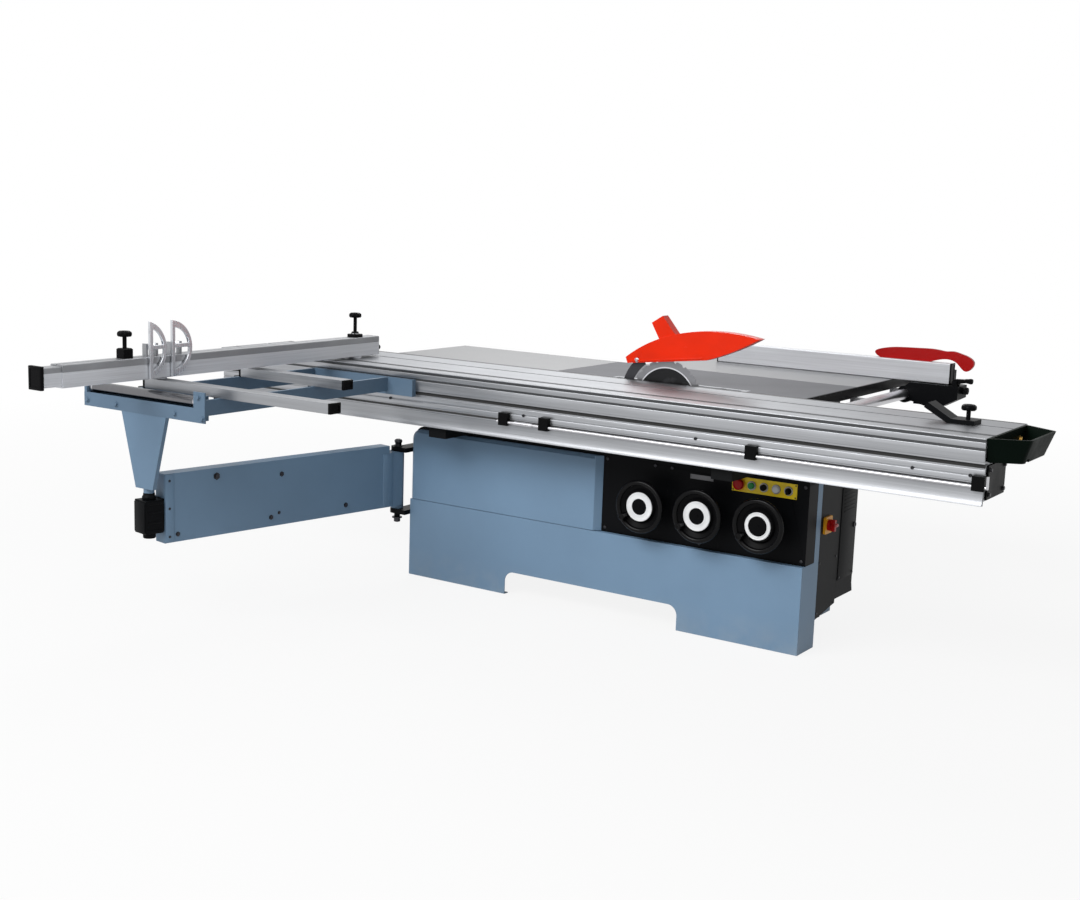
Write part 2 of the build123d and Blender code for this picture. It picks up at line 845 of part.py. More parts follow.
def handwheel(x):
    """Dished handwheel with its shaft along Y, a hub dial and a crank handle."""
    bush_face = panel_face - wheel_bush_length
    hub_back = bush_face - run_gap
    turned_y(x, wheel_height, [
        (0, frame_front - wheel_shaft_tail),
        (wheel_shaft_radius, frame_front - wheel_shaft_tail),
        (wheel_shaft_radius, hub_back),
        (wheel_bush_radius, hub_back),
        (wheel_hub_radius, rim_y + 3 * wheel_rim),
        (rim_ring, rim_y + wheel_rim / 2),
        (rim_ring, rim_y - wheel_rim / 2),
        (wheel_hub_radius * 2, rim_y + wheel_rim),
        (wheel_hub_radius * 1.8, rim_y),
        (0, rim_y),
    ])
    with Locations(Location((x, rim_y, wheel_height), (90, 0, 0))):
        Torus(rim_ring, wheel_rim)
    handle_x = x + crank_ring * cos(radians(crank_angle))
    handle_z = wheel_height + crank_ring * sin(radians(crank_angle))
    rod("y", rim_y - crank_length, rim_y + wheel_rim / 2, (handle_x, handle_z), crank_radius)


with BuildPart() as tilt_handwheel:
    handwheel(wheel_spots[0])
finish(tilt_handwheel, "tilt_handwheel")

with BuildPart() as lift_handwheel:
    handwheel(wheel_spots[1])
finish(lift_handwheel, "lift_handwheel")

with BuildPart() as scoring_handwheel:
    handwheel(wheel_spots[2])
finish(scoring_handwheel, "scoring_handwheel")

# Tables

insert_x0 = blade_x - insert_left
insert_x1 = blade_x + insert_right
insert_back = table_front + insert_width


def open_tray(x, y, wall, plate):
    """Table top with a rim round its underside."""
    block(x, y, (table_height - table_rim, table_height))
    block((x[0] + wall, x[1] - wall), (y[0] + wall, y[1] - wall),
        (table_height - table_rim, table_height - plate),
          mode=Mode.SUBTRACT)


with BuildPart() as main_table:
    open_tray((main_left, main_right), (table_front, table_back), table_wall, table_plate)
    rib_step = main_length / 6
    rib_front = motor_y0 + pulley_gap
    for i in range(1, 6):
        x = main_left + i * rib_step
        block((x - table_wall / 2, x + table_wall / 2), (rib_front, table_back - table_wall),
              (table_height - table_rim, table_under))
    top = main_table.faces().sort_by(Axis.Z)[-1]
    chamfer(top.edges(), length=edge_break)
    # Opening for the blade and the table insert, right through the front rim
    block((insert_x0, insert_x1), (table_front, insert_back), (table_height - table_rim, table_height),
        mode=Mode.SUBTRACT)
    block((insert_x0, insert_x1), (insert_back, insert_back + table_wall),
          (table_height - insert_thickness - table_wall, table_under))
finish(main_table, "main_table")

with BuildPart() as table_insert:
    insert_z = (table_height - insert_thickness, table_height)
    block((insert_x0, insert_x1), (table_front, insert_back), insert_z)
    block((blade_x - insert_slot_left, blade_x + insert_slot_right),
        (table_front, blade_y + insert_slot_edge), insert_z,
          mode=Mode.SUBTRACT)
    for x in (insert_x0 + insert_width / 3, insert_x1 - insert_width / 3):
        rod("z", table_height - insert_thickness, table_height, (x, insert_back - insert_width / 3), 3,
            mode=Mode.SUBTRACT)
finish(table_insert, "table_insert")

with BuildPart() as outfeed_table:
    open_tray((main_left - outfeed_length, main_left), (table_front, table_back), sheet, sheet)
    chamfer(outfeed_table.faces().sort_by(Axis.Z)[-1].edges(), length=edge_break)
finish(outfeed_table, "outfeed_table")

with BuildPart() as side_table:
    open_tray((side_left, main_right), (table_back, side_back), sheet, sheet)
    chamfer(side_table.faces().sort_by(Axis.Z)[-1].edges(), length=edge_break)
finish(side_table, "side_table")

# Guide beam and sliding carriage

rib_y = (beam_middle - beam_rib / 2, beam_middle + beam_rib / 2)
beam_x = (carriage_left, carriage_right)

with BuildPart() as guide_beam:
    block(beam_x, (beam_front, beam_back), (beam_under, beam_top))
    block(beam_x, (beam_front + beam_wall, beam_back - beam_wall),
        (beam_under + beam_wall, beam_top - beam_wall),
          mode=Mode.SUBTRACT)
    # Hardened strips that the carriage runs on, and the rib that guides it
    for y in (beam_front + strip_inset, beam_back - strip_inset - strip_width):
        block(beam_x, (y, y + strip_width), (beam_top, carriage_under - run_gap))
    block(beam_x, rib_y, (beam_top, beam_top + beam_rib_height))
    # Hanging strip along the front
    block(beam_x, (beam_front - skirt_strip_thickness, beam_front),
          (beam_under - skirt_strip_drop, beam_under - skirt_strip_drop + skirt_strip))
finish(guide_beam, "guide_beam")

with BuildPart() as beam_end_plates:
    for x in (carriage_left - end_plate_thickness, carriage_right):
        block((x, x + end_plate_thickness), (beam_front + end_plate_inset, beam_back - end_plate_inset),
              (beam_under + beam_gap, beam_top - beam_gap))
finish(beam_end_plates, "beam_end_plates")

rod_y = beam_front - skirt_strip_thickness - rod_stand_off
clip_y = (rod_y - rod_stand_off, beam_front - skirt_strip_thickness)

clip_x = (*clip_spots, carriage_right - clip_end_inset)

with BuildPart() as rod_clips:
    for x in clip_x:
        block((x - clip_width / 2, x + clip_width / 2), clip_y,
            (rod_height - 2 * rod_radius, rod_height + clip_rise))
        block((x - clip_width / 2, x + clip_width / 2), (clip_y[0], beam_front),
            (beam_under - skirt_strip_drop + skirt_strip, rod_height + clip_rise))
        rod("x", x - clip_width / 2, x + clip_width / 2, (rod_y, rod_height), rod_radius + bore_gap,
            mode=Mode.SUBTRACT)
finish(rod_clips, "rod_clips")

with BuildPart() as lock_rod:
    rod_x0 = clip_x[0] - clip_width / 2 - rod_tail
    rod_x1 = clip_x[-1] + clip_width / 2 + rod_tail
    rod("x", rod_x0, rod_x1, (rod_y, rod_height), rod_radius)
    # Cam between the two left-hand clips, and the grip beside the last clip
    cam_x = (clip_x[0] + clip_x[1]) / 2
    rod("x", cam_x - clip_width, cam_x + clip_width, (rod_y, rod_height), rod_radius + edge_break)
    block((rod_x1 - rod_tail / 2, rod_x1), (rod_y - rod_radius, rod_y + rod_radius),
          (rod_height, rod_height + 6 * rod_radius))
finish(lock_rod, "lock_rod")

slot_y = (carriage_front + slot_front, carriage_front + slot_back)
groove_z = table_height - face_groove_drop
line_z = table_height - face_line_drop

with BuildPart() as sliding_carriage:
    prism("x", carriage_left, carriage_right, [
        (carriage_front, carriage_under),
        (carriage_box_back, carriage_under),
        (carriage_box_back, table_under),
        (carriage_back - carriage_relief, table_under),
        (carriage_back, table_under + carriage_relief),
        (carriage_back, table_height),
        (carriage_front, table_height),
    ])
    block(beam_x, (slot_y[1] - slot_rib / 2, slot_y[1] + slot_rib / 2),
        (table_height - slot_rib_depth, table_under))
    top_edges = sliding_carriage.faces().sort_by(Axis.Z)[-1].edges().filter_by(Axis.X)
    chamfer(top_edges, length=edge_break)
    cavity_top = table_height - slot_depth - 2 * carriage_wall
    block(beam_x, (carriage_front + carriage_wall, carriage_box_back - carriage_wall),
          (carriage_under + carriage_wall, cavity_top), mode=Mode.SUBTRACT)
    block(beam_x, (rib_y[0] - run_gap, rib_y[1] + run_gap),
        (carriage_under, carriage_under + carriage_wall),
          mode=Mode.SUBTRACT)
    for y in slot_y:
        block(beam_x, (y - slot_mouth / 2, y + slot_mouth / 2), (table_height - slot_neck, table_height),
              mode=Mode.SUBTRACT)
        block(beam_x, (y - slot_width / 2, y + slot_width / 2),
            (table_height - slot_depth, table_height - slot_neck),
              mode=Mode.SUBTRACT)
    block(beam_x, (carriage_front, carriage_front + face_groove_depth),
        (groove_z, groove_z + face_groove),
          mode=Mode.SUBTRACT)
    block(beam_x, (carriage_front, carriage_front + 2), (line_z, line_z + 2), mode=Mode.SUBTRACT)
finish(sliding_carriage, "sliding_carriage")

handle_end = carriage_right + handle_length
handle_back = carriage_front + handle_depth
handle_z = (table_height - handle_height, table_height)

handle_rim = [
    (carriage_right, carriage_front),
    (handle_end, carriage_front + handle_taper_front),
    (handle_end, handle_back - handle_taper_back),
    (carriage_right, handle_back),
]


def inset(points, amounts):
    """Move each side of an outline that runs anticlockwise inwards by its own amount."""
    sides = []
    for start, end, amount in zip(points, points[1:] + points[:1], amounts):
        along = (Vector(*end) - Vector(*start)).normalized()
        sides.append((Vector(*start) + Vector(-along.Y, along.X) * amount, along))
    corners = []
    for (first, first_way), (second, second_way) in zip(sides[-1:] + sides[:-1], sides):
        gap = second - first
        across = first_way.X * second_way.Y - first_way.Y * second_way.X
        reach = (gap.X * second_way.Y - gap.Y * second_way.X) / across
        corner = first + first_way * reach
        corners.append((corner.X, corner.Y))
    return corners


def bowl(low, high, low_outline, high_outline, rounding):
    """Straight-sided bowl shape between two outlines, its two outer corners rounded."""
    with BuildPart() as shape:
        for z, outline in ((low, low_outline), (high, high_outline)):
            with BuildSketch(Plane.XY.offset(z)):
                with BuildLine():
                    Polyline(*outline, close=True)
                make_face()
        loft()
        upright = [edge for edge in shape.edges() if abs(edge.tangent_at(0.5).Z) > 0.5]
        fillet(ShapeList(upright).sort_by(Axis.X)[-2:], radius=rounding)
    return shape.part


with BuildPart() as push_handle:
    lean = (handle_lean, handle_lean, handle_lean, 0)
    wall = (handle_wall,) * 4
    handle_foot = inset(handle_rim, lean)
    add(bowl(handle_z[0], handle_z[1], handle_foot, handle_rim, handle_round))
    add(bowl(handle_z[0] + handle_floor, handle_z[1], inset(handle_foot, wall), inset(handle_rim, wall),
             handle_round - handle_wall), mode=Mode.SUBTRACT)
    # The beam's rib passes below when the table slides
    block((carriage_right, handle_end), (rib_y[0] - run_gap, rib_y[1] + run_gap),
        (handle_z[0], beam_top + beam_rib_height + run_gap), Mode.SUBTRACT)
finish(push_handle, "push_handle")

# Outrigger

channel_back = outrigger_front + 2 * roller_offset + 2 * outrigger_sheet
frame_x = (outrigger_left, outrigger_right)
roller_z = table_height - roller_drop
roller_y = outrigger_front + outrigger_sheet + roller_offset
channel_z = (outrigger_under, outrigger_under + outrigger_rail_height)

with BuildPart() as outrigger_frame:
    # Channel along the front, with the roller's brackets
    block(frame_x, (outrigger_front, outrigger_front + outrigger_sheet), channel_z)
    channel_x = (outrigger_left, bracket_right + roller_bracket)
    block(channel_x, (outrigger_front, channel_back), (outrigger_under, outrigger_under + outrigger_sheet))
    block(channel_x, (channel_back - outrigger_sheet, channel_back), (outrigger_under, bar_under))
    for x in (roller_x0 - run_gap - roller_bracket, bracket_right):
        block((x, x + roller_bracket), (outrigger_front, channel_back),
            (outrigger_under, roller_z + roller_radius))
        rod("x", x, x + roller_bracket, (roller_y, roller_z), roller_pin_radius + bore_gap,
            mode=Mode.SUBTRACT)
    block((bracket_right, outrigger_right), (outrigger_front, outrigger_front + outrigger_sheet),
          (outrigger_under, roller_z + 2 * roller_radius))
    # Side rails and the rail clamped to the carriage
    rail_low = bar_under - side_rail_height
    for x, y in ((side_rail_left, channel_back - outrigger_sheet),
                 (outrigger_right - side_rail_width, outrigger_front)):
        block((x, x + side_rail_width), (y, carriage_front), (rail_low, bar_under))
    block((clamp_rail_left, clamp_rail_left + clamp_rail_length),
        (carriage_front - clamp_rail_depth, carriage_front),
          (bar_under - clamp_rail_height, bar_under))
finish(outrigger_frame, "outrigger_frame")

with BuildPart() as support_bars:
    for length, offset in ((bar_front_length, bar_front_offset), (bar_back_length, bar_back_offset)):
        y = outrigger_front + offset
        bar_y = (y - bar_width / 2, y + bar_width / 2)
        block((bar_left, bar_left + length), bar_y, (bar_under, table_height))
        block((bar_left, bar_left + length), (bar_y[0] + bar_wall, bar_y[1] - bar_wall),
              (bar_under + bar_wall, table_height - bar_wall), mode=Mode.SUBTRACT)
finish(support_bars, "support_bars")

with BuildPart() as outrigger_roller:
    rod("x", roller_x0, roller_x1, (roller_y, roller_z), roller_radius)
    rod("x", roller_x0 - roller_bracket, roller_x1 + roller_bracket, (roller_y, roller_z),
        roller_pin_radius)
finish(outrigger_roller, "outrigger_roller")

# Swing arm that carries the outrigger

arm_plane = Plane(
    origin=(hinge_x, hinge_y, 0),
    x_dir=(cos(radians(arm_turn)), sin(radians(arm_turn)), 0),
    z_dir=(0, 0, 1),
)


def arm_box(start, end, width, low, high, mode=Mode.ADD):
    """Box along the swing arm, from one distance to another from its hinge."""
    with BuildSketch(arm_plane.offset(low)) as outline:
        with Locations(((start + end) / 2, 0)):
            Rectangle(end - start, width)
    extrude(outline.sketch, amount=high - low, mode=mode)


arm_end = arm_root + arm_length
arm_high = arm_low + arm_height
inner_high = inner_low + inner_height
inner_width = arm_thickness - 2 * arm_wall - 2 * run_gap
cavity_width = arm_thickness - 2 * arm_wall

with BuildPart() as hinge_bracket:
    lug_y = (hinge_y - hinge_lug_width / 2, hinge_y + 2 * hinge_lug_width)
    for low in (hinge_tube_low - run_gap - hinge_lug, hinge_tube_high + run_gap):
        block((hinge_x, left), lug_y, (low, low + hinge_lug))
        rod("z", low, low + hinge_lug, (hinge_x, hinge_y), hinge_lug_width / 2)
    block((left - hinge_lug, left), (lug_y[1] - hinge_lug_width, lug_y[1]),
          (hinge_tube_low - hinge_lug, hinge_tube_high + hinge_lug))
    rod("z", hinge_tube_low - 3 * hinge_lug, hinge_tube_high + 2 * hinge_lug, (hinge_x, hinge_y),
        hinge_pin_radius)
finish(hinge_bracket, "hinge_bracket")

with BuildPart() as swing_arm:
    arm_box(0, arm_end, arm_thickness, arm_low, hinge_tube_high)
    arm_box(2 * arm_root, arm_end, arm_thickness, hinge_tube_high, arm_high)
    rod("z", hinge_tube_low, hinge_tube_high, (hinge_x, hinge_y), hinge_tube_radius)
    start = 3 * arm_root
    arm_box(start, arm_end, cavity_width, inner_low - run_gap, inner_high + run_gap, mode=Mode.SUBTRACT)
    arm_box(start, arm_end - arm_wall, cavity_width, arm_low + arm_wall, inner_low - run_gap - arm_wall,
            mode=Mode.SUBTRACT)
    arm_box(start, arm_end - arm_wall, cavity_width, inner_high + run_gap + arm_wall, arm_high - arm_wall,
            mode=Mode.SUBTRACT)
    rod("z", hinge_tube_low, hinge_tube_high, (hinge_x, hinge_y), hinge_pin_radius + bore_gap,
        mode=Mode.SUBTRACT)
finish(swing_arm, "swing_arm")

block_start = arm_reach - pivot_block / 2
collar_radius = pivot_radius * 1.7

with BuildPart() as inner_arm:
    arm_box(block_start - inner_length, block_start, inner_width, inner_low, inner_high)
    arm_box(block_start - inner_length, block_start - pivot_tail, inner_width - 2 * arm_wall,
        inner_low + arm_wall,
            inner_high - arm_wall, mode=Mode.SUBTRACT)
    arm_box(block_start, block_start + pivot_block, pivot_block, inner_low, inner_high)
    rod("z", inner_low, inner_high, (pivot_x, pivot_y), pivot_radius + bore_gap, mode=Mode.SUBTRACT)
finish(inner_arm, "inner_arm")

post_top = outrigger_under - run_gap
post_back = outrigger_front + post_fold
post_top_left = pivot_x - post_top_reach
post_bottom_left = pivot_x - post_bottom_reach
post_top_right = post_top_left + post_top_width
post_bottom_right = post_bottom_left + post_bottom_width

with BuildPart() as support_post:
    prism("y", outrigger_front, post_back, [
        (post_bottom_left, post_foot),
        (post_bottom_right, post_foot),
        (post_top_right, post_top),
        (post_top_left, post_top),
    ])
    wall = outrigger_sheet
    prism("y", outrigger_front + wall, post_back, [
        (post_bottom_left + wall, post_foot + 2 * wall),
        (post_bottom_right - wall, post_foot + 2 * wall),
        (post_top_right - 2 * wall, post_top - wall),
        (post_top_left + 2 * wall, post_top - wall),
    ], mode=Mode.SUBTRACT)
    rod("z", inner_high + run_gap, post_foot, (pivot_x, pivot_y), collar_radius)
    rod("z", inner_low - post_flange, post_foot, (pivot_x, pivot_y), pivot_radius)
    rod("z", inner_low - 2 * post_flange, inner_low - run_gap, (pivot_x, pivot_y), collar_radius)
finish(support_post, "support_post")

# Crosscut fence

fence_y = (fence_far_y, fence_near_y)
fence_x = (fence_back_x, fence_face_x)
flip_z = table_height + flip_axis_rise
flip_x = fence_middle_x
knob_boss = 16.0
bar_front_y = outrigger_front + bar_front_offset

with BuildPart() as crosscut_fence:
    block(fence_x, fence_y, (fence_under, fence_top))
    chamfer(crosscut_fence.edges().filter_by(Axis.Y), length=edge_break)
    block((fence_back_x + fence_wall, fence_face_x - fence_wall), fence_y,
        (fence_under + fence_wall, fence_top - fence_wall),
          mode=Mode.SUBTRACT)
    groove = fence_wall / 2
    seam_z = fence_under + fence_height * 0.64
    block((fence_face_x - groove, fence_face_x), fence_y, (seam_z, seam_z + 2 * groove),
        mode=Mode.SUBTRACT)
    block((fence_middle_x - groove, fence_middle_x + groove), fence_y, (fence_top - groove, fence_top),
        mode=Mode.SUBTRACT)
    # Pads on the carriage and on the front support bar
    for y, radius in ((fence_pivot_y, fence_pad_radius), (bar_front_y, bar_width / 3)):
        rod("z", table_height + run_gap, fence_under, (fence_middle_x, y), radius)
    # Boss of the clamp knob
    rod("z", fence_top - groove, fence_top + knob_boss, (fence_middle_x, fence_pivot_y),
        2 * knob_stem_radius)
    rod("z", fence_top + run_gap, fence_top + knob_boss, (fence_middle_x, fence_pivot_y),
        knob_stem_radius + bore_gap,
        mode=Mode.SUBTRACT)
    # Lugs and pins of the flip stops
    for y in (flip_left_y, flip_right_y):
        reach = flip_hub_length / 2 + run_gap
        for low in (y - reach - flip_lug, y + reach):
            block((flip_x - flip_hub_radius, flip_x + flip_hub_radius), (low, low + flip_lug),
                  (fence_top - groove, flip_z + flip_hub_radius))
        rod("y", y - reach - flip_lug, y + reach + flip_lug, (flip_x, flip_z), flip_pin_radius)
finish(crosscut_fence, "crosscut_fence")

extension_end = fence_far_y - extension_show

with BuildPart() as fence_extension:
    inset = fence_wall + run_gap
    inner_x = (fence_back_x + inset, fence_face_x - inset)
    inner_z = (fence_under + inset, fence_top - inset)
    tip = extension_end - extension_cap
    bar_y = (tip, fence_far_y + extension_inside)
    block(inner_x, bar_y, inner_z)
    chamfer(fence_extension.edges().filter_by(Axis.Y), length=edge_break)
    block((inner_x[0] + extension_wall, inner_x[1] - extension_wall),
        (tip + extension_plug, fence_far_y + extension_inside),
          (inner_z[0] + extension_wall, inner_z[1] - extension_wall), mode=Mode.SUBTRACT)
    block((fence_back_x, fence_face_x), (tip, tip + extension_plug), (fence_under, fence_top))
finish(fence_extension, "fence_extension")


def flip_stop(y, width):
    """D-shaped stop in front of the fence, on a hub that turns about the fence's length."""
    low = table_height + flip_foot
    high = table_height + flip_top
    middle = (low + high) / 2
    face = fence_face_x + edge_break
    with BuildSketch(outline_plane("x", face)) as loop:
        with BuildLine():
            Line((y - width / 2, low), (y - width / 2, high))
            ThreePointArc((y - width / 2, high), (y + width / 2, middle), (y - width / 2, low))
        make_face()
        with BuildLine():
            Line((y - width / 2 + flip_bar, low + 2 * flip_bar),
                (y - width / 2 + flip_bar, high - 2 * flip_bar))
            ThreePointArc(
                (y - width / 2 + flip_bar, high - 2 * flip_bar),
                (y + width / 2 - flip_bar, middle),
                (y - width / 2 + flip_bar, low + 2 * flip_bar),
            )
        make_face(mode=Mode.SUBTRACT)
    extrude(loop.sketch, amount=flip_thickness)
    half = flip_bar / 2
    block((flip_x, face + flip_thickness), (y - half, y + half), (flip_z - half, flip_z + half))
    block((face, face + flip_thickness), (y - width / 2, y + width / 2 - half),
        (flip_z - half, flip_z + half))
    rod("y", y - flip_hub_length / 2, y + flip_hub_length / 2, (flip_x, flip_z), flip_hub_radius)
    rod("y", y - flip_hub_length / 2, y + flip_hub_length / 2, (flip_x, flip_z),
        flip_pin_radius + bore_gap,
        mode=Mode.SUBTRACT)


with BuildPart() as flip_stop_left:
    flip_stop(flip_left_y, flip_left_width)
finish(flip_stop_left, "flip_stop_left")

with BuildPart() as flip_stop_right:
    flip_stop(flip_right_y, flip_right_width)
finish(flip_stop_right, "flip_stop_right")

stop_y0 = stop_y - stop_length / 2
stop_y1 = stop_y + stop_length / 2
stop_top = fence_top + stop_rise

with BuildPart() as stop_block:
    block((fence_middle_x - stop_width / 2, fence_middle_x + stop_width / 2), (stop_y0, stop_y1),
        (fence_top + run_gap, stop_top))
    chamfer(stop_block.faces().sort_by(Axis.Z)[-1].edges(), length=stop_width / 10)
    # Key in the groove along the fence's top
    key = fence_wall / 2 - run_gap
    block((fence_middle_x - key, fence_middle_x + key), (stop_y0, stop_y1),
        (fence_top - key, fence_top + run_gap))
    rod("z", fence_top + stop_rise / 3, stop_top, (fence_middle_x, stop_y), knob_stem_radius + bore_gap,
        mode=Mode.SUBTRACT)
finish(stop_block, "stop_block")

with BuildPart() as stop_knob:
    star_knob(fence_middle_x, stop_y, fence_top + stop_rise / 3 + run_gap, table_height + stop_knob_top)
finish(stop_knob, "stop_knob")

with BuildPart() as fence_clamp_knob:
    star_knob(fence_middle_x, fence_pivot_y, fence_top + 2 * run_gap, table_height + clamp_knob_top)
finish(fence_clamp_knob, "fence_clamp_knob")

# Edging shoe in the carriage's rear slot

shoe_right = carriage_right - shoe_end_gap
shoe_left = shoe_right - shoe_length
shoe_knob_x = shoe_right - shoe_knob_inset
shoe_hook_left = shoe_left - shoe_hook_reach
shoe_y = slot_y[1]
shoe_top = table_height + run_gap + shoe_height

with BuildPart() as edging_shoe:
    half = shoe_width / 2
    block((shoe_left, shoe_right), (shoe_y - half, shoe_y + half), (table_height + run_gap, shoe_top))
    prism("y", shoe_y - half, shoe_y + half, [
        (shoe_left + shoe_height, shoe_top),
        (shoe_left, table_height + run_gap),
        (shoe_hook_left, table_height + shoe_hook_low),
        (shoe_hook_left + shoe_height, table_height + shoe_hook_high),
    ])
    # Tongue and T-nut in the slot
    tongue = (shoe_left + shoe_height, shoe_right - shoe_height)
    mouth = slot_mouth / 2 - run_gap
    nut = slot_width / 2 - run_gap
    block(tongue, (shoe_y - mouth, shoe_y + mouth),
        (table_height - slot_neck - run_gap, table_height + run_gap))
    block(tongue, (shoe_y - nut, shoe_y + nut),
        (table_height - slot_depth + run_gap, table_height - slot_neck - run_gap))
    rod("z", shoe_top - shoe_height / 2, shoe_top, (shoe_knob_x, shoe_y), knob_stem_radius + bore_gap,
        mode=Mode.SUBTRACT)
finish(edging_shoe, "edging_shoe")

with BuildPart() as shoe_knob:
    star_knob(shoe_knob_x, shoe_y, shoe_top - shoe_height / 2 + run_gap, table_height + shoe_knob_top)
finish(shoe_knob, "shoe_knob")

# Rip fence

rail_ends = (rail_front, rail_front + rail_length)
rip_back_y = rip_face_y + rip_depth
carrier_right = rail_x + carrier_length
carrier_y = (rip_face_y - (carrier_depth - rip_depth) / 2, rip_back_y + (carrier_depth - rip_depth) / 2)
carrier_top = table_height - rip_lift
carrier_low = table_height - carrier_drop
rip_low = table_height + rip_lift
rip_high = rip_low + rip_height
neck = rail_bracket_height / 2

with BuildPart() as fence_rail:
    rod("y", rail_ends[0], rail_ends[1], (rail_x, rail_z), rail_radius)
    for y in rail_bracket_spots:
        block((main_right, rail_x), (y - rail_bracket / 2, y + rail_bracket / 2),
            (rail_z - neck, rail_z + neck))
finish(fence_rail, "fence_rail")

with BuildPart() as rip_fence_carrier:
    rod("y", carrier_y[0], carrier_y[1], (rail_x, rail_z), carrier_sleeve_radius)
    prism("y", carrier_y[0], carrier_y[1], [
        (rail_x, rail_z + carrier_sleeve_radius),
        (rail_x, carrier_low + carrier_chin),
        (rail_x + carrier_chin_length, carrier_low),
        (carrier_right - carrier_cut[0], carrier_low),
        (carrier_right, carrier_low + carrier_cut[1]),
        (carrier_right, carrier_top),
        (rail_x + carrier_post_left, carrier_top),
    ])
    # Upright that the fence profile is clamped to
    post_x = (rail_x + carrier_post_left, rail_x + carrier_post_right)
    post_y = (rip_back_y + run_gap, rip_back_y + carrier_post_depth)
    block(post_x, post_y, (carrier_top - carrier_post_depth, table_height + carrier_post_rise))
    prism("y", rip_back_y - rip_depth / 2, post_y[1], [
        (post_x[0], carrier_low),
        (carrier_right - carrier_cut[0], carrier_low),
        (carrier_right, carrier_low + carrier_cut[1]),
        (carrier_right, carrier_top),
        (post_x[0], carrier_top),
    ])
    # Clearance for the rail and its brackets
    rod("y", carrier_y[0] - frame_tube, carrier_y[1] + frame_tube, (rail_x, rail_z),
        rail_radius + bore_gap,
        mode=Mode.SUBTRACT)
    block((rail_x - 2 * carrier_sleeve_radius, rail_x),
        (carrier_y[0] - frame_tube, carrier_y[1] + frame_tube),
          (rail_z - neck - edge_break, rail_z + neck + edge_break), mode=Mode.SUBTRACT)
    # Ears and bores of the lock lever and the fine adjuster
    lever_x = carrier_right - lever_hub_radius - lever_inset
    lever_z = carrier_top + lever_hub_radius + run_gap
    lever_y = (carrier_y[0] + lever_width / 2, carrier_y[0] + 1.5 * lever_width)
    for y in (lever_y[0] - run_gap - lever_ear, lever_y[1] + run_gap):
        block((lever_x - lever_ear_width / 2, lever_x + lever_ear_width / 2), (y, y + lever_ear),
            (carrier_top - lever_ear_root, lever_z + lever_ear_width / 2))
    rod("y", lever_y[0] - run_gap - lever_ear, lever_y[1] + run_gap + lever_ear, (lever_x, lever_z),
        lever_pin_radius)
    fine_z = table_height - fine_knob_drop
    fine_y = (carrier_y[0] + carrier_y[1]) / 2
    rod("x", carrier_right - fine_knob_length, carrier_right, (fine_y, fine_z),
        lever_pin_radius + bore_gap,
        mode=Mode.SUBTRACT)
finish(rip_fence_carrier, "rip_fence_carrier")

with BuildPart() as rip_fence_profile:
    rip_x = (rip_left, rip_left + rip_length)
    block(rip_x, (rip_face_y, rip_back_y), (rip_low, rip_high))
    chamfer(rip_fence_profile.edges().filter_by(Axis.X), length=edge_break)
    block(rip_x, (rip_face_y + rip_wall, rip_back_y - rip_wall),
        (rip_low + rip_wall, rip_high - rip_wall),
          mode=Mode.SUBTRACT)
finish(rip_fence_profile, "rip_fence_profile")

with BuildPart() as fence_lock_lever:
    rod("y", lever_y[0], lever_y[1], (lever_x, lever_z), lever_hub_radius)
    prism("y", lever_y[0], lever_y[1], [
        (lever_x, lever_z - lever_rise / 2),
        (lever_x + lever_length, lever_z + lever_rise / 2),
        (lever_x + lever_length, lever_z + 1.3 * lever_rise),
        (lever_x, lever_z + lever_hub_radius),
    ])
    rod("y", lever_y[0], lever_y[1], (lever_x, lever_z), lever_pin_radius + bore_gap, mode=Mode.SUBTRACT)
finish(fence_lock_lever, "fence_lock_lever")

with BuildPart() as fine_adjust_knob:
    knob_x0 = carrier_right + run_gap
    rod("x", carrier_right - fine_knob_length, knob_x0, (fine_y, fine_z), lever_pin_radius)
    rod("x", knob_x0, knob_x0 + fine_knob_length, (fine_y, fine_z), fine_knob_radius)
    chamfer(fine_adjust_knob.faces().sort_by(Axis.X)[-1].edges(), length=3)
finish(fine_adjust_knob, "fine_adjust_knob")

with BuildPart() as push_stick:
    stick_y = (rip_face_y + rip_depth / 2 - stick_thickness / 2,
        rip_face_y + rip_depth / 2 + stick_thickness / 2)
    rest = [(stick_left + stick_foot, rip_high), (stick_left + stick_foot + stick_rest, rip_high)]
    curve = [(stick_left + x, rip_high + z) for x, z in stick_outline]
    with BuildSketch(outline_plane("y", stick_y[0])) as outline:
        with BuildLine():
            Line(rest[0], rest[1])
            Spline(rest[1], *curve, rest[0])
        make_face()
    extrude(outline.sketch, amount=stick_y[0] - stick_y[1])
finish(push_stick, "push_stick")

# Tilting saw unit

post_x = (blade_x - guide_post_span / 2, blade_x + guide_post_span / 2)
post_y = blade_y + guide_post_offset
sleeve_z = (arbor_z - guide_drop - guide_sleeve_length / 2,
    arbor_z - guide_drop + guide_sleeve_length / 2)
lug_low = sleeve_z[0] - lift_room
lug_high = sleeve_z[1] + lift_room
lug_y = (post_y - guide_sleeve_radius, post_y + guide_sleeve_radius)
ring_angles = (-90 - tilt_ring_from, -90 - tilt_ring_to)
beam_low = table_height - tilt_radius + tilt_ring / 2

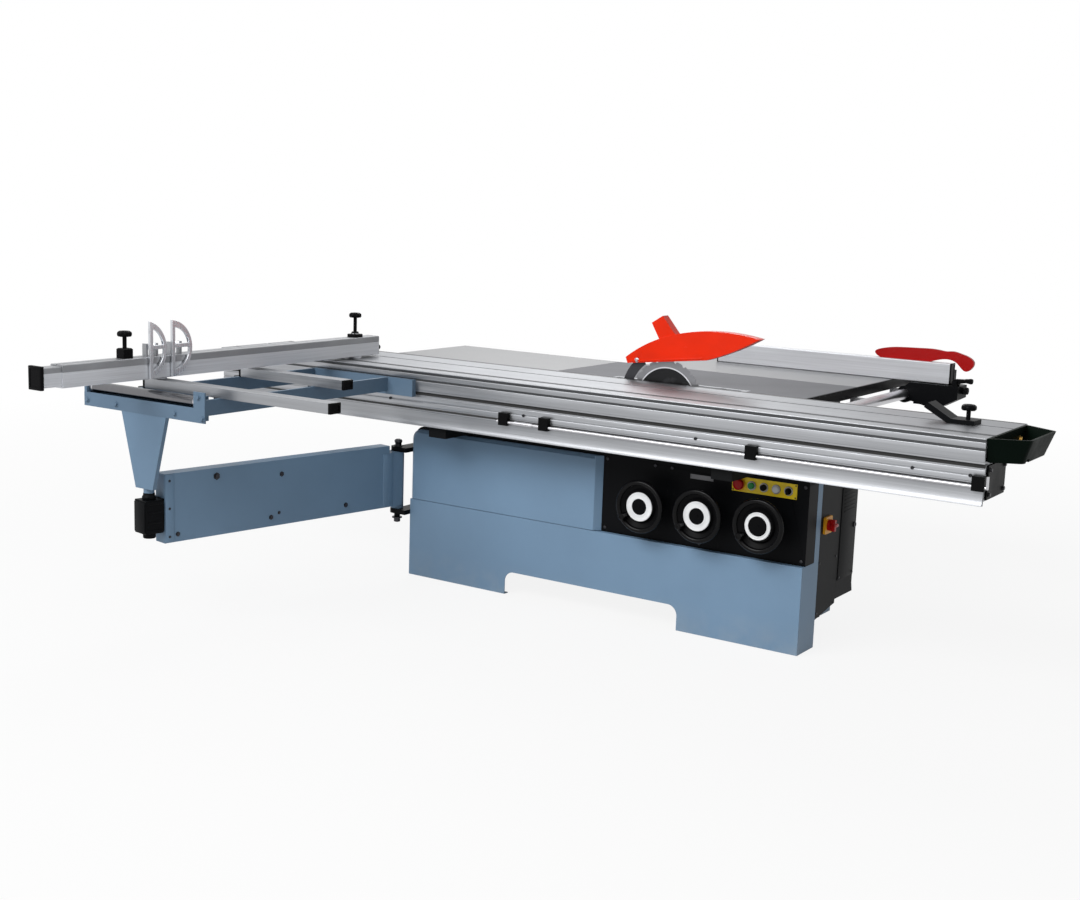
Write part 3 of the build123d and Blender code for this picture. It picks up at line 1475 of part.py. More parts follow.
with BuildPart() as tilt_frame:
    half_plate = trunnion_plate / 2
    for x in trunnion_x:
        plate_x = (x - half_plate, x + half_plate)
        ring_sector("x", plate_x[0], plate_x[1], (blade_y, table_height), tilt_radius - tilt_ring,
            tilt_radius,
                    ring_angles[0], ring_angles[1])
        block(plate_x, lug_y, (beam_low, lug_high + lug_thickness))
    block((trunnion_x[0], trunnion_x[1]), lug_y, (beam_low, lug_low))
    block((trunnion_x[0], post_x[0] + guide_sleeve_radius), lug_y, (lug_high, lug_high + lug_thickness))
    block((post_x[1] - guide_sleeve_radius, trunnion_x[1]), lug_y, (lug_high, lug_high + lug_thickness))
    for x in post_x:
        rod("z", lug_low, lug_high, (x, post_y), guide_post_radius)
    # Posts of the scoring unit
    for x in (scoring_x - scoring_post_span / 2, scoring_x + scoring_post_span / 2):
        rod("z", lug_high, scoring_z + scoring_housing_radius / 2, (x, post_y), scoring_post_radius)
finish(tilt_frame, "tilt_frame")

knife_arm_x = (blade_x - knife_outer_radius, blade_x - knife_inner_radius - knife_arm_gap)
knife_arm_z = (arbor_z - knife_arm_drop, arbor_z - knife_arm_drop + knife_arm_height)
knife_y = (blade_y - knife_thickness / 2, blade_y + knife_thickness / 2)
half_foot = motor_foot_width / 2

with BuildPart() as saw_carrier:
    block((knife_arm_x[0], post_x[1] + guide_sleeve_radius), (plate_y0, plate_y1),
          (sleeve_z[0], arbor_z + housing_radius / 2))
    block((blade_x - half_foot, blade_x + half_foot), (plate_y0, plate_y1),
        (shelf_top - shelf_thickness, sleeve_z[0]))
    block((blade_x - half_foot, blade_x + half_foot), (plate_y0, motor_y1),
        (shelf_top - shelf_thickness, shelf_top))
    rod("y", housing_y0, housing_y1, (blade_x, arbor_z), housing_radius)
    block(knife_arm_x, (knife_y[1], plate_y1), knife_arm_z)
    for x in post_x:
        rod("z", sleeve_z[0], sleeve_z[1], (x, post_y), guide_sleeve_radius)
        block((x - guide_sleeve_radius / 2, x + guide_sleeve_radius / 2), (post_y, plate_y0), sleeve_z)
        rod("z", sleeve_z[0], sleeve_z[1], (x, post_y), guide_post_radius + bore_gap, mode=Mode.SUBTRACT)
    rod("y", housing_y0, housing_y1, (blade_x, arbor_z), arbor_radius + bore_gap, mode=Mode.SUBTRACT)
    # Room for the motor's pulley and shaft
    rod("y", plate_y1, motor_y0, (blade_x, motor_z), motor_pulley_radius + 2 * belt_thickness,
        mode=Mode.SUBTRACT)
finish(saw_carrier, "saw_carrier")

with BuildPart() as main_motor:
    rod("y", motor_y0, motor_y1, (blade_x, motor_z), motor_radius)
    chamfer(main_motor.faces().sort_by(Axis.Y)[-1].edges(), length=8)
    block((blade_x - half_foot, blade_x + half_foot), (motor_y0 + 15, motor_y1 - 15),
        (shelf_top, motor_z - motor_radius / 2))
    rod("y", motor_y0, motor_y0 + motor_length / 2, (blade_x, motor_z), motor_shaft_radius + bore_gap,
        mode=Mode.SUBTRACT)
finish(main_motor, "main_motor")


def plain_pulley(z, radius):
    """Flat-faced pulley on the shaft at the given height."""
    rod("y", pulley_y0, pulley_y1, (blade_x, z), radius)


with BuildPart() as motor_pulley:
    plain_pulley(motor_z, motor_pulley_radius)
    rod("y", pulley_y0, motor_y0 + motor_length / 3, (blade_x, motor_z), motor_shaft_radius)
finish(motor_pulley, "motor_pulley")

with BuildPart() as arbor:
    flange_y = blade_y - blade_thickness / 2 - flange_thickness
    seat_y = blade_y + blade_thickness / 2
    rod("y", flange_y, pulley_y1, (blade_x, arbor_z), arbor_radius)
    rod("y", flange_y, flange_y + flange_thickness, (blade_x, arbor_z), flange_radius)
    rod("y", seat_y, housing_y0 - run_gap, (blade_x, arbor_z), flange_radius)
    rod("y", blade_y - nut_reach, flange_y, (blade_x, arbor_z), nut_radius)
    plain_pulley(arbor_z, arbor_pulley_radius)
finish(arbor, "arbor")

belt_y = ((pulley_y0 + pulley_y1 - belt_width) / 2, (pulley_y0 + pulley_y1 + belt_width) / 2)


def belt_outline(low_radius, high_radius):
    """Outline round two pulleys, in a plane across their axes."""
    lean = (high_radius - low_radius) / (arbor_z - motor_z)
    side = sqrt(1 - lean * lean)
    low = (blade_x, motor_z)
    high = (blade_x, arbor_z)
    low_right = (low[0] + low_radius * side, low[1] - low_radius * lean)
    low_left = (low[0] - low_radius * side, low[1] - low_radius * lean)
    high_right = (high[0] + high_radius * side, high[1] - high_radius * lean)
    high_left = (high[0] - high_radius * side, high[1] - high_radius * lean)
    Line(low_right, high_right)
    ThreePointArc(high_right, (high[0], high[1] + high_radius), high_left)
    Line(high_left, low_left)
    ThreePointArc(low_left, (low[0], low[1] - low_radius), low_right)


with BuildPart() as drive_belt:
    with BuildSketch(outline_plane("y", belt_y[0])) as loop:
        with BuildLine():
            belt_outline(motor_pulley_radius + run_gap + belt_thickness,
                arbor_pulley_radius + run_gap + belt_thickness)
        make_face()
        with BuildLine():
            belt_outline(motor_pulley_radius + run_gap, arbor_pulley_radius + run_gap)
        make_face(mode=Mode.SUBTRACT)
    extrude(loop.sketch, amount=-belt_width)
finish(drive_belt, "drive_belt")

blade_radius = blade_diameter / 2

with BuildPart() as main_blade:
    rod("y", blade_y - blade_thickness / 2, blade_y + blade_thickness / 2, (blade_x, arbor_z),
        blade_radius)
    # Gullets in front of the teeth
    for i in range(blade_teeth):
        turn = 360 / blade_teeth * i
        step = 360 / blade_teeth * 0.45
        tip = blade_radius + 1
        root = blade_radius - gullet_depth
        points = []
        for radius, angle in ((tip, turn), (root, turn + 1), (root, turn + step / 2), (tip, turn + step)):
            points.append((blade_x + radius * cos(radians(angle)),
                arbor_z + radius * sin(radians(angle))))
        prism("y", blade_y - blade_thickness, blade_y + blade_thickness, points, mode=Mode.SUBTRACT)
    rod("y", blade_y - blade_thickness, blade_y + blade_thickness, (blade_x, arbor_z), arbor_radius,
        mode=Mode.SUBTRACT)
finish(main_blade, "main_blade")

guard_pin_x = blade_x + guard_pin_ring * cos(radians(guard_pin_angle))
guard_pin_z = arbor_z + guard_pin_ring * sin(radians(guard_pin_angle))

with BuildPart() as riving_knife:
    ring_sector("y", knife_y[0], knife_y[1], (blade_x, arbor_z), knife_inner_radius, knife_outer_radius,
                knife_high_angle, knife_low_angle)
    # Pin that the guard swings on
    rod("y", blade_y - guard_width / 2, blade_y + guard_width / 2, (guard_pin_x, guard_pin_z),
        guard_pin_radius)
finish(riving_knife, "riving_knife")

guard_y = (blade_y - guard_width / 2, blade_y + guard_width / 2)
# Guard outline, from its tail round the nose to the top, from the blade's centre
guard_tail = (-168, 148)
guard_heel = (-159, 126)
guard_front = (170, 165)
guard_nose = (378, 257)
guard_crown = (186, 271)
chimney_foot = ((-28, 223), (40, 244))
chimney_top = ((-64, 284), (-19, 313))


def from_blade(point):
    """Point given from the blade's centre, in the model's own place."""
    return (blade_x + point[0], arbor_z + point[1])


def guard_shape(inset):
    """Outline of the guard's side, drawn in by a wall."""
    tail = from_blade((guard_tail[0] + inset, guard_tail[1]))
    heel = from_blade((guard_heel[0] + inset, guard_heel[1] + inset))
    low = from_blade((guard_front[0], guard_front[1] + inset))
    nose = from_blade((guard_nose[0] - 3 * inset, guard_nose[1]))
    crown = from_blade((guard_crown[0], guard_crown[1] - inset))
    chin = from_blade((guard_front[0] + guard_chin[0], guard_front[1] + guard_chin[1] + inset))
    shoulder = from_blade((guard_tail[0] + guard_shoulder[0], guard_tail[1] + guard_shoulder[1] - inset))
    Polyline(tail, heel, low)
    Spline(low, chin, nose)
    Spline(nose, crown, shoulder, tail)


with BuildPart() as blade_guard:
    with BuildSketch(outline_plane("y", guard_y[0])) as side:
        with BuildLine():
            guard_shape(0)
        make_face()
    extrude(side.sketch, amount=-guard_width)
    chimney = [from_blade(p) for p in (chimney_foot[0], chimney_foot[1], chimney_top[1], chimney_top[0])]
    low_left = from_blade((chimney_foot[0][0] + chimney_root[0], chimney_foot[0][1] - chimney_root[2]))
    low_right = from_blade((chimney_foot[1][0] + chimney_root[1], chimney_foot[1][1] - chimney_root[2]))
    prism("y", guard_y[0] + guard_wall, guard_y[1] - guard_wall,
        [low_left, low_right] + chimney[1:] + chimney[:1])
    # Hollow inside, open below, with the chimney's duct
    with BuildSketch(outline_plane("y", guard_y[0] + guard_wall)) as hollow:
        with BuildLine():
            guard_shape(guard_wall)
        make_face()
    extrude(hollow.sketch, amount=-(guard_width - 2 * guard_wall), mode=Mode.SUBTRACT)
    prism("y", guard_y[0] + guard_wall, guard_y[1] - guard_wall, [
        from_blade((guard_heel[0] + guard_mouth_inset[0], guard_heel[1] - guard_mouth_depth)),
        from_blade((guard_front[0] - guard_mouth_inset[1], guard_front[1] - guard_mouth_depth)),
        from_blade((guard_front[0] - guard_mouth_inset[1], guard_front[1] + guard_mouth_depth)),
        from_blade((guard_heel[0] + guard_mouth_inset[0], guard_heel[1] + guard_mouth_depth)),
    ], mode=Mode.SUBTRACT)
    duct = 2 * guard_wall
    prism("y", guard_y[0] + duct, guard_y[1] - duct, [
        from_blade((chimney_foot[0][0] + chimney_root[0] + duct,
            chimney_foot[0][1] - chimney_root[2] - duct)),
        from_blade((chimney_foot[1][0] + chimney_root[1] - duct,
            chimney_foot[1][1] - chimney_root[2] - duct)),
        from_blade((chimney_foot[1][0] - duct, chimney_foot[1][1])),
        from_blade((chimney_top[1][0] - duct, chimney_top[1][1] + duct)),
        from_blade((chimney_top[0][0] + duct, chimney_top[0][1] + duct)),
        from_blade((chimney_foot[0][0] + duct, chimney_foot[0][1])),
    ], mode=Mode.SUBTRACT)
    rod("y", guard_y[0], guard_y[1], (guard_pin_x, guard_pin_z), guard_pin_radius + bore_gap,
        mode=Mode.SUBTRACT)
finish(blade_guard, "blade_guard")

scoring_y0 = blade_y + housing_front
scoring_y1 = scoring_y0 + scoring_housing_length
scoring_sleeve = scoring_post_radius * 1.7
scoring_sleeve_z = (scoring_z - scoring_housing_radius, scoring_z + scoring_housing_radius / 3)

with BuildPart() as scoring_carrier:
    rod("y", scoring_y0, scoring_y1, (scoring_x, scoring_z), scoring_housing_radius)
    spots = (scoring_x - scoring_post_span / 2, scoring_x + scoring_post_span / 2)
    block(spots, (post_y - scoring_post_radius / 2, post_y + scoring_post_radius / 2), scoring_sleeve_z)
    for x in spots:
        rod("z", scoring_sleeve_z[0], scoring_sleeve_z[1], (x, post_y), scoring_sleeve)
    for x in spots:
        rod("z", scoring_sleeve_z[0], scoring_sleeve_z[1], (x, post_y), scoring_post_radius + bore_gap,
            mode=Mode.SUBTRACT)
    rod("y", scoring_y0, scoring_y1, (scoring_x, scoring_z), arbor_radius / 2 + bore_gap,
        mode=Mode.SUBTRACT)
finish(scoring_carrier, "scoring_carrier")

with BuildPart() as scoring_blade:
    half_scoring = scoring_thickness / 2
    rod("y", blade_y - half_scoring, blade_y + half_scoring, (scoring_x, scoring_z), scoring_diameter / 2)
    rod("y", blade_y - flange_thickness, scoring_y1, (scoring_x, scoring_z), arbor_radius / 2)
    for y in (blade_y - flange_thickness, blade_y + half_scoring):
        rod("y", y, y + flange_thickness - half_scoring, (scoring_x, scoring_z), scoring_housing_radius)
finish(scoring_blade, "scoring_blade")
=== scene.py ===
"""Looks of a sliding table panel saw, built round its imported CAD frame."""

import json
from math import atan2, cos, degrees, radians, sin

import bmesh
import bpy
from mathutils import Matrix, Vector


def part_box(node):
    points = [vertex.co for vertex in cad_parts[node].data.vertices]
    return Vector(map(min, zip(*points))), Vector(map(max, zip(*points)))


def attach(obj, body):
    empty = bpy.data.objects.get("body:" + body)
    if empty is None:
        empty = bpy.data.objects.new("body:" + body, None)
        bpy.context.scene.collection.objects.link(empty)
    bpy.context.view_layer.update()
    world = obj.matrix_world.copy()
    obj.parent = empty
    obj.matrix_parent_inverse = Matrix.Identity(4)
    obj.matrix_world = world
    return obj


bl_info = {
    "name": "Panel saw looks",
    "version": (1, 0, 0),
    "blender": (4, 5, 0),
    "location": "View3D > Sidebar > Panel saw",
    "description": "Finishes and detail pieces of a sliding table panel saw",
    "category": "Object",
}

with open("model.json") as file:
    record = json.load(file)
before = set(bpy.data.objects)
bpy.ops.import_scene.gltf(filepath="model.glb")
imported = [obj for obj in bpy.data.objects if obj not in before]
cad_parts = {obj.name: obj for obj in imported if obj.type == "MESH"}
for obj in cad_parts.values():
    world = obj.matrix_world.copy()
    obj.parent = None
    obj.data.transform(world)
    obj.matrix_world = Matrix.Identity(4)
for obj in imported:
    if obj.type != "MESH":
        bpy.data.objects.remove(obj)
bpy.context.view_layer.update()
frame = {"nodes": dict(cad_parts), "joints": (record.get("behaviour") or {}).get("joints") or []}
nodes = frame["nodes"]
MM = 0.001


# Shader expressions


class Signal:
    """A shader socket that takes part in Python expressions."""

    def __init__(self, graph, socket):
        self.graph = graph
        self.socket = socket

    def __add__(self, other):
        return self.graph.math("ADD", self, other)

    def __radd__(self, other):
        return self.graph.math("ADD", other, self)

    def __sub__(self, other):
        return self.graph.math("SUBTRACT", self, other)

    def __rsub__(self, other):
        return self.graph.math("SUBTRACT", other, self)

    def __mul__(self, other):
        return self.graph.math("MULTIPLY", self, other)

    def __rmul__(self, other):
        return self.graph.math("MULTIPLY", other, self)

    def __gt__(self, other):
        return self.graph.math("GREATER_THAN", self, other)

    def __lt__(self, other):
        return self.graph.math("LESS_THAN", self, other)

    def between(self, low, high):
        """0 at low, 1 at high, held outside."""
        inputs = {"Value": self, "From Min": low, "From Max": high}
        return self.graph.node("ShaderNodeMapRange", {"clamp": True}, inputs)


class Graph:
    """A node tree whose nodes are added by expressions."""

    def __init__(self, tree):
        self.tree = tree

    def node(self, kind, settings=None, inputs=None, output=0):
        """Add a node: its settings first, then the values or links of its sockets."""
        node = self.tree.nodes.new(kind)
        for key, value in (settings or {}).items():
            setattr(node, key, value)
        for key, value in (inputs or {}).items():
            self.feed(node.inputs[key], value)
        return Signal(self, node.outputs[output])

    def feed(self, socket, value):
        """Link a signal to a socket, or set the socket's own value."""
        if isinstance(value, Signal):
            self.tree.links.new(value.socket, socket)
        elif socket.type == "RGBA" and len(value) == 3:
            socket.default_value = (*value, 1)
        else:
            socket.default_value = value

    def math(self, operation, *values):
        return self.node("ShaderNodeMath", {"operation": operation}, dict(enumerate(values)))

    def seen_rays(self):
        """1 for a ray that the eye follows, straight, mirrored or through glass."""
        straight, mirrored, through = [self.node("ShaderNodeLightPath", output=f"Is {kind} Ray")
                                       for kind in ("Camera", "Glossy", "Transmission")]
        return self.math("MAXIMUM", self.math("MAXIMUM", straight, mirrored), through)


class Finish(Graph):
    """One procedural material, written as expressions on its sockets."""

    def __init__(self, name, **fixed):
        self.material = bpy.data.materials.new(name)
        self.material.use_nodes = True
        super().__init__(self.material.node_tree)
        self.shader = self.tree.nodes["Principled BSDF"]
        self.place = self.node("ShaderNodeTexCoord", output="Object")
        self.set(**fixed)

    def set(self, **values):
        """Feed the shader's sockets, named in lower case."""
        for key, value in values.items():
            self.feed(self.shader.inputs[key.replace("_", " ").title().replace("Ior", "IOR")], value)

    def map(self, scale=(1, 1, 1), move=(0, 0, 0)):
        """Object coordinates, stretched and then moved."""
        inputs = {"Vector": self.place, "Location": move, "Scale": scale}
        return self.node("ShaderNodeMapping", {"vector_type": "POINT"}, inputs)

    def noise(self, scale, detail=4, rough=0.55, at=None):
        inputs = {"Vector": at or self.place, "Scale": scale, "Detail": detail, "Roughness": rough}
        return self.node("ShaderNodeTexNoise", None, inputs)

    def cells(self, scale):
        """Distance to the middle of the nearest of many small cells."""
        return self.node("ShaderNodeTexVoronoi", {"feature": "F1"}, {"Vector": self.place, "Scale": scale})

    def mix(self, factor, first, second):
        """Blend two colours."""
        settings = {"data_type": "RGBA", "clamp_factor": True}
        return self.node("ShaderNodeMix", settings, {0: factor, 6: first, 7: second}, output=2)

    def axis(self, letter, at=None):
        """One coordinate of a vector, in metres."""
        return self.node("ShaderNodeSeparateXYZ", None, {0: at or self.place}, output=letter)

    def bump(self, height, depth, strength=1.0):
        """A normal raised by height times depth in metres."""
        inputs = {"Height": height, "Distance": depth, "Strength": strength}
        return self.node("ShaderNodeBump", None, inputs)


def shade(color, factor):
    """A colour made lighter or darker by a factor."""
    return tuple(min(1.0, c * factor) for c in color)


# Finishes

DUST = (0.42, 0.42, 0.40)
DUST_HEIGHT = 0.12
STEEL = (0.52, 0.52, 0.54)
SAW_PLATE = (0.26, 0.26, 0.27)
FENCE_DARK_BAND = 0.024


def powder_coat(name, color, rough=0.42, dust=0.25, sheen=0.35):
    """Sprayed paint on sheet steel: fine orange peel, faint clouds, dust near the floor."""
    paint = Finish(name, specular_ior_level=sheen)
    clouds = paint.noise(2.3, 5)
    peel = paint.noise(420, 2)
    grime = paint.noise(14, 6).between(0.35, 0.75) * (1 - paint.axis("Z").between(0.0, DUST_HEIGHT)) * dust
    tone = paint.mix(clouds.between(0.3, 0.7), shade(color, 0.93), shade(color, 1.05))
    scuffs = paint.noise(1, 7, 0.7, paint.map((60, 9, 9))).between(0.66, 0.8) * 0.10
    paint.set(
        base_color=paint.mix(grime + scuffs, tone, DUST),
        roughness=rough + clouds.between(0.3, 0.7) * 0.08 + grime * 0.4,
        normal=paint.bump(peel, 0.00012, 0.35),
    )
    return paint.material


def drawn_aluminium(name, color, along, rough=0.30, metallic=1.0, edge=1.0, dark_above=None):
    """Extruded and anodised aluminium with fine die lines along one axis, darker above a height."""
    metal = Finish(name, metallic=metallic, specular_tint=(edge, edge, edge))
    stretch = {"X": (0.7, 190, 190), "Y": (190, 0.7, 190), "Z": (190, 190, 0.7)}[along]
    fine = metal.noise(4, 3, 0.6, metal.map(stretch))
    broad_stretch = tuple(v * 0.16 if v > 1 else v for v in stretch)
    broad = metal.noise(3, 3, 0.5, metal.map(broad_stretch))
    handling = metal.noise(5, 6, 0.6).between(0.45, 0.75)
    tone = metal.mix(fine.between(0.25, 0.75), shade(color, 0.80), shade(color, 1.10))
    tone = metal.mix(broad.between(0.35, 0.7) * 0.5, tone, shade(color, 0.72))
    if dark_above:
        tone = metal.mix(metal.axis("Z") > dark_above, tone, shade(color, 0.42))
    metal.set(
        base_color=metal.mix(handling * 0.18, tone, shade(color, 0.85)),
        roughness=rough + fine.between(0.2, 0.8) * 0.14 + handling * 0.07,
        normal=metal.bump(fine, 0.00004, 0.5),
    )
    return metal.material


def ground_iron(name, color):
    """Planed and ground cast iron: long grinding lines, oil clouds, tiny pores."""
    iron = Finish(name, metallic=0.8, specular_tint=(0.45, 0.45, 0.46))
    lines = iron.noise(5, 4, 0.65, iron.map((3, 160, 160)))
    cross = iron.noise(3, 3, 0.6, iron.map((70, 2, 70)))
    clouds = iron.noise(4, 6, 0.6)
    pores = iron.cells(520).between(0.05, 0.16)
    tone = iron.mix(lines.between(0.25, 0.75), shade(color, 0.78), shade(color, 1.12))
    tone = iron.mix(clouds.between(0.45, 0.8) * 0.35, tone, shade(color, 0.66))
    iron.set(
        base_color=iron.mix((1 - pores) * 0.25, tone, shade(color, 0.35)),
        roughness=0.40 + lines.between(0.2, 0.8) * 0.14 + clouds * 0.08,
        normal=iron.bump(lines * 0.6 + cross * 0.4, 0.00003, 0.5),
    )
    return iron.material


def turned_steel(name, color, along="X", rough=0.24):
    """Turned or ground steel bar with fine tool lines round it."""
    steel = Finish(name, metallic=1.0)
    squeeze = {"X": (420, 6, 6), "Y": (6, 420, 6), "Z": (6, 6, 420)}[along]
    lines = steel.noise(2, 3, 0.6, steel.map(squeeze))
    clouds = steel.noise(9, 5)
    steel.set(
        base_color=steel.mix(lines.between(0.25, 0.75), shade(color, 0.82), shade(color, 1.08)),
        roughness=rough + lines * 0.10 + clouds.between(0.5, 0.8) * 0.12,
        normal=steel.bump(lines, 0.00003, 0.4),
    )
    return steel.material


def moulded_plastic(name, color, rough=0.46, grain=900, depth=0.00009, sheen=0.2):
    """Moulded plastic with a fine spark-eroded grain and handling shine."""
    plastic = Finish(name, specular_ior_level=sheen)
    pebbles = plastic.cells(grain)
    shine = plastic.noise(11, 5).between(0.4, 0.75)
    plastic.set(
        base_color=plastic.mix(shine, shade(color, 0.92), shade(color, 1.12)),
        roughness=rough - shine * 0.12,
        normal=plastic.bump(pebbles, depth, 0.4),
    )
    return plastic.material


def gloss_plastic(name, color, rough=0.2, coat=0.08, sheen=0.2):
    """Glossy injection moulded plastic, with slight flow marks and fine scratches."""
    plastic = Finish(name, coat_roughness=0.12, coat_weight=coat, specular_ior_level=sheen)
    flow = plastic.noise(6, 3, 0.5, plastic.map((1, 3, 2)))
    scratches = plastic.noise(1, 7, 0.75, plastic.map((18, 130, 60))).between(0.6, 0.8)
    plastic.set(
        base_color=plastic.mix(flow.between(0.3, 0.7), shade(color, 0.90), shade(color, 1.06)),
        roughness=rough + flow * 0.08 + scratches * 0.14,
        normal=plastic.bump(flow, 0.0006, 0.15),
    )
    return plastic.material


def ground_blade(name, node, color, plate_edge):
    """Saw plate ground in rings round its centre, dark inside a pale ring."""
    low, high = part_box(node)
    steel = Finish(name, metallic=1.0)
    local = steel.map(move=(low + high) / -2)
    x, z = steel.axis("X", local), steel.axis("Z", local)
    radius = steel.math("SQRT", x * x + z * z)
    spun = steel.node("ShaderNodeCombineXYZ", None, {"X": radius})
    rings = steel.noise(900, 2, 0.5, spun)
    bands = steel.noise(60, 2, 0.5, spun)
    heat = steel.noise(18, 4).between(0.55, 0.8)
    tone = steel.mix(rings.between(0.3, 0.7), shade(color, 0.80), shade(color, 1.08))
    tone = steel.mix(radius < plate_edge, tone, shade(color, 0.10))
    tone = steel.mix((radius > plate_edge) * (radius < plate_edge * 1.04), tone, shade(color, 2.6))
    steel.set(
        base_color=steel.mix(heat * 0.3, tone, shade(color, 0.6)),
        roughness=0.24 + rings * 0.12 + bands * 0.10,
        normal=steel.bump(rings, 0.00002, 0.4),
    )
    return steel.material


def soft_rubber(name, color):
    """Matt black rubber with chalky bloom."""
    rubber = Finish(name)
    bloom = rubber.noise(40, 6).between(0.4, 0.8)
    rubber.set(
        base_color=rubber.mix(bloom * 0.5, color, shade(color, 2.2)),
        roughness=0.72 + bloom * 0.15,
        normal=rubber.bump(rubber.noise(700, 2), 0.0001, 0.4),
    )
    return rubber.material


def color_choice(name, description, default):
    return bpy.props.FloatVectorProperty(
        name=name, description=description, subtype="COLOR", size=3, min=0, max=1, default=default)


class SawColors(bpy.types.PropertyGroup):
    """Colours that a user would change."""

    cabinet: color_choice("Cabinet paint", "Powder coat of cabinet, arm and outrigger", (0.165, 0.265, 0.385))
    panel: color_choice("Panel paint", "Control panel, right side and brackets", (0.0026, 0.0029, 0.0036))
    profile: color_choice("Profiles", "Anodised aluminium of table, beam and fences", (0.40, 0.41, 0.43))
    guard: color_choice("Guard", "Moulded blade guard", (0.76, 0.022, 0.001))
    dial: color_choice("Dial rings", "Ring of each handwheel's position indicator", (0.80, 0.81, 0.82))


class SawSizes(bpy.types.PropertyGroup):
    """Sizes that a user would change."""

    lens: bpy.props.FloatProperty(
        name="Lens", description="Focal length for a 36 mm wide sensor", default=50.383, min=20, max=200)
    floor_size: bpy.props.FloatProperty(
        name="Floor", description="Side of the pale floor", unit="LENGTH", default=120.0, min=10)


finishes = {}
WORN_BY = {
    "blue": "front_skirt left_front_cover rear_shell",
    # Arm, post and outrigger wear darker copies of the cabinet paint: painted shade.
    "blue_arm_shaded": "swing_arm",
    "blue_post_shaded": "support_post",
    "blue_outrigger_shaded": "outrigger_frame",
    "black": "control_panel right_side_panel electrical_box hinge_bracket inner_arm edging_shoe"
             " rip_fence_carrier",
    # The frame paint is near-black partly as painted shade for the beam seats under the beam.
    "frame": "base_frame tilt_frame saw_carrier scoring_carrier",
    "motor": "main_motor",
    "sheet": "outfeed_table side_table",
    "yellow_plate": "button_plate",
    "iron": "main_table",
    "alloy_x": "table_insert guide_beam sliding_carriage support_bars",
    "rip": "rip_fence_profile",
    "fence": "crosscut_fence fence_extension",
    "alloy_cast": "flip_stop_left flip_stop_right",
    "steel_x": "lock_rod",
    "roller": "outrigger_roller",
    "steel_y": "fence_rail arbor motor_pulley",
    "blade": "main_blade",
    "knife": "riving_knife",
    "score": "scoring_blade",
    "plastic": "beam_end_plates rod_clips stop_block stop_knob fence_clamp_knob shoe_knob fence_lock_lever"
               " fine_adjust_knob tilt_handwheel lift_handwheel scoring_handwheel stop_button selector_knob",
    "handle": "push_handle",
    "guard": "blade_guard",
    "red": "push_stick estop_button isolator_knob",
    "green": "start_button",
    "yellow": "isolator_base",
    "rubber": "drive_belt",
}


def make_paints(blue, black):
    """Powder coats and other paints."""
    finishes.update({
        "blue": powder_coat("cabinet_powder_coat", blue),
        # Darker copies of the cabinet paint for arm, post and outrigger: the same powder coat with painted
        # shade.
        "blue_arm_shaded": powder_coat("arm_powder_coat_shaded", shade(blue, 0.96)),
        "blue_post_shaded": powder_coat("post_powder_coat_shaded", shade(blue, 0.76)),
        "blue_outrigger_shaded": powder_coat("outrigger_powder_coat_shaded", shade(blue, 0.57)),
        "black": powder_coat("black_paint", black, dust=0.05, sheen=0.06),
        # Near-black frame paint, darkened partly as painted shade under the beam.
        "frame": powder_coat("frame_paint", (0.005, 0.0055, 0.006), rough=0.5, dust=0.05, sheen=0.08),
        "motor": powder_coat("motor_paint", (0.10, 0.13, 0.17), rough=0.45, dust=0.1),
        "sheet": powder_coat("table_paint", (0.20, 0.203, 0.213), rough=0.34, dust=0.0),
        "yellow_plate": powder_coat("yellow_plate_paint", (0.95, 0.68, 0.015), rough=0.35, dust=0.0),
    })


def make_metals(alloy):
    """Anodised aluminium, iron and steels."""
    fence_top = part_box("fence_extension")[1].z
    finishes.update({
        "iron": ground_iron("ground_cast_iron", (0.15, 0.152, 0.16)),
        "alloy_x": drawn_aluminium("anodised_along_x", alloy, "X", edge=0.6),
        "alloy_bright": drawn_aluminium("bright_alloy_sheet", shade(alloy, 0.92), "X", edge=0.6),
        "beam_alloy": drawn_aluminium("beam_anodised", shade(alloy, 1.12), "X", rough=0.28, edge=0.6),
        # Near-black aluminium for strips of painted shade in the sliding table's grooves and beside its
        # T-slots.
        "groove_shade_alloy": drawn_aluminium("painted_groove_shade", shade(alloy, 0.20), "X", rough=0.45),
        "fence": drawn_aluminium("fence_anodised", shade(alloy, 1.75), "Y", rough=0.34, metallic=0.55,
                                 dark_above=fence_top - FENCE_DARK_BAND),
        "rip": drawn_aluminium("rip_fence_anodised", shade(alloy, 1.5), "X", rough=0.36, metallic=0.4),
        "alloy_cast": drawn_aluminium("polished_alloy", shade(alloy, 1.85), "Z", rough=0.18),
        "roller": turned_steel("roller_steel", (0.19, 0.19, 0.20), "X", rough=0.12),
        "knife": turned_steel("riving_knife_steel", (0.06, 0.06, 0.065), "Z", rough=0.36),
        "steel_x": turned_steel("turned_steel_x", STEEL, "X"),
        "steel_y": turned_steel("turned_steel_y", STEEL, "Y"),
        "brass": turned_steel("brass_screws", (0.62, 0.40, 0.12), "Y", rough=0.28),
        "collar": turned_steel("button_collar_steel", (0.30, 0.30, 0.31), "Y", rough=0.3),
        "dark_steel": turned_steel("blackened_steel", (0.05, 0.05, 0.055), "Y", rough=0.35),
        "silver_plate": turned_steel("plate_alloy", (0.10, 0.10, 0.105), "X", rough=0.3),
        "blade": ground_blade("ground_saw_plate", "main_blade", SAW_PLATE, plate_edge=0.119),
        "score": ground_blade("ground_score_plate", "scoring_blade", SAW_PLATE, plate_edge=0.044),
    })


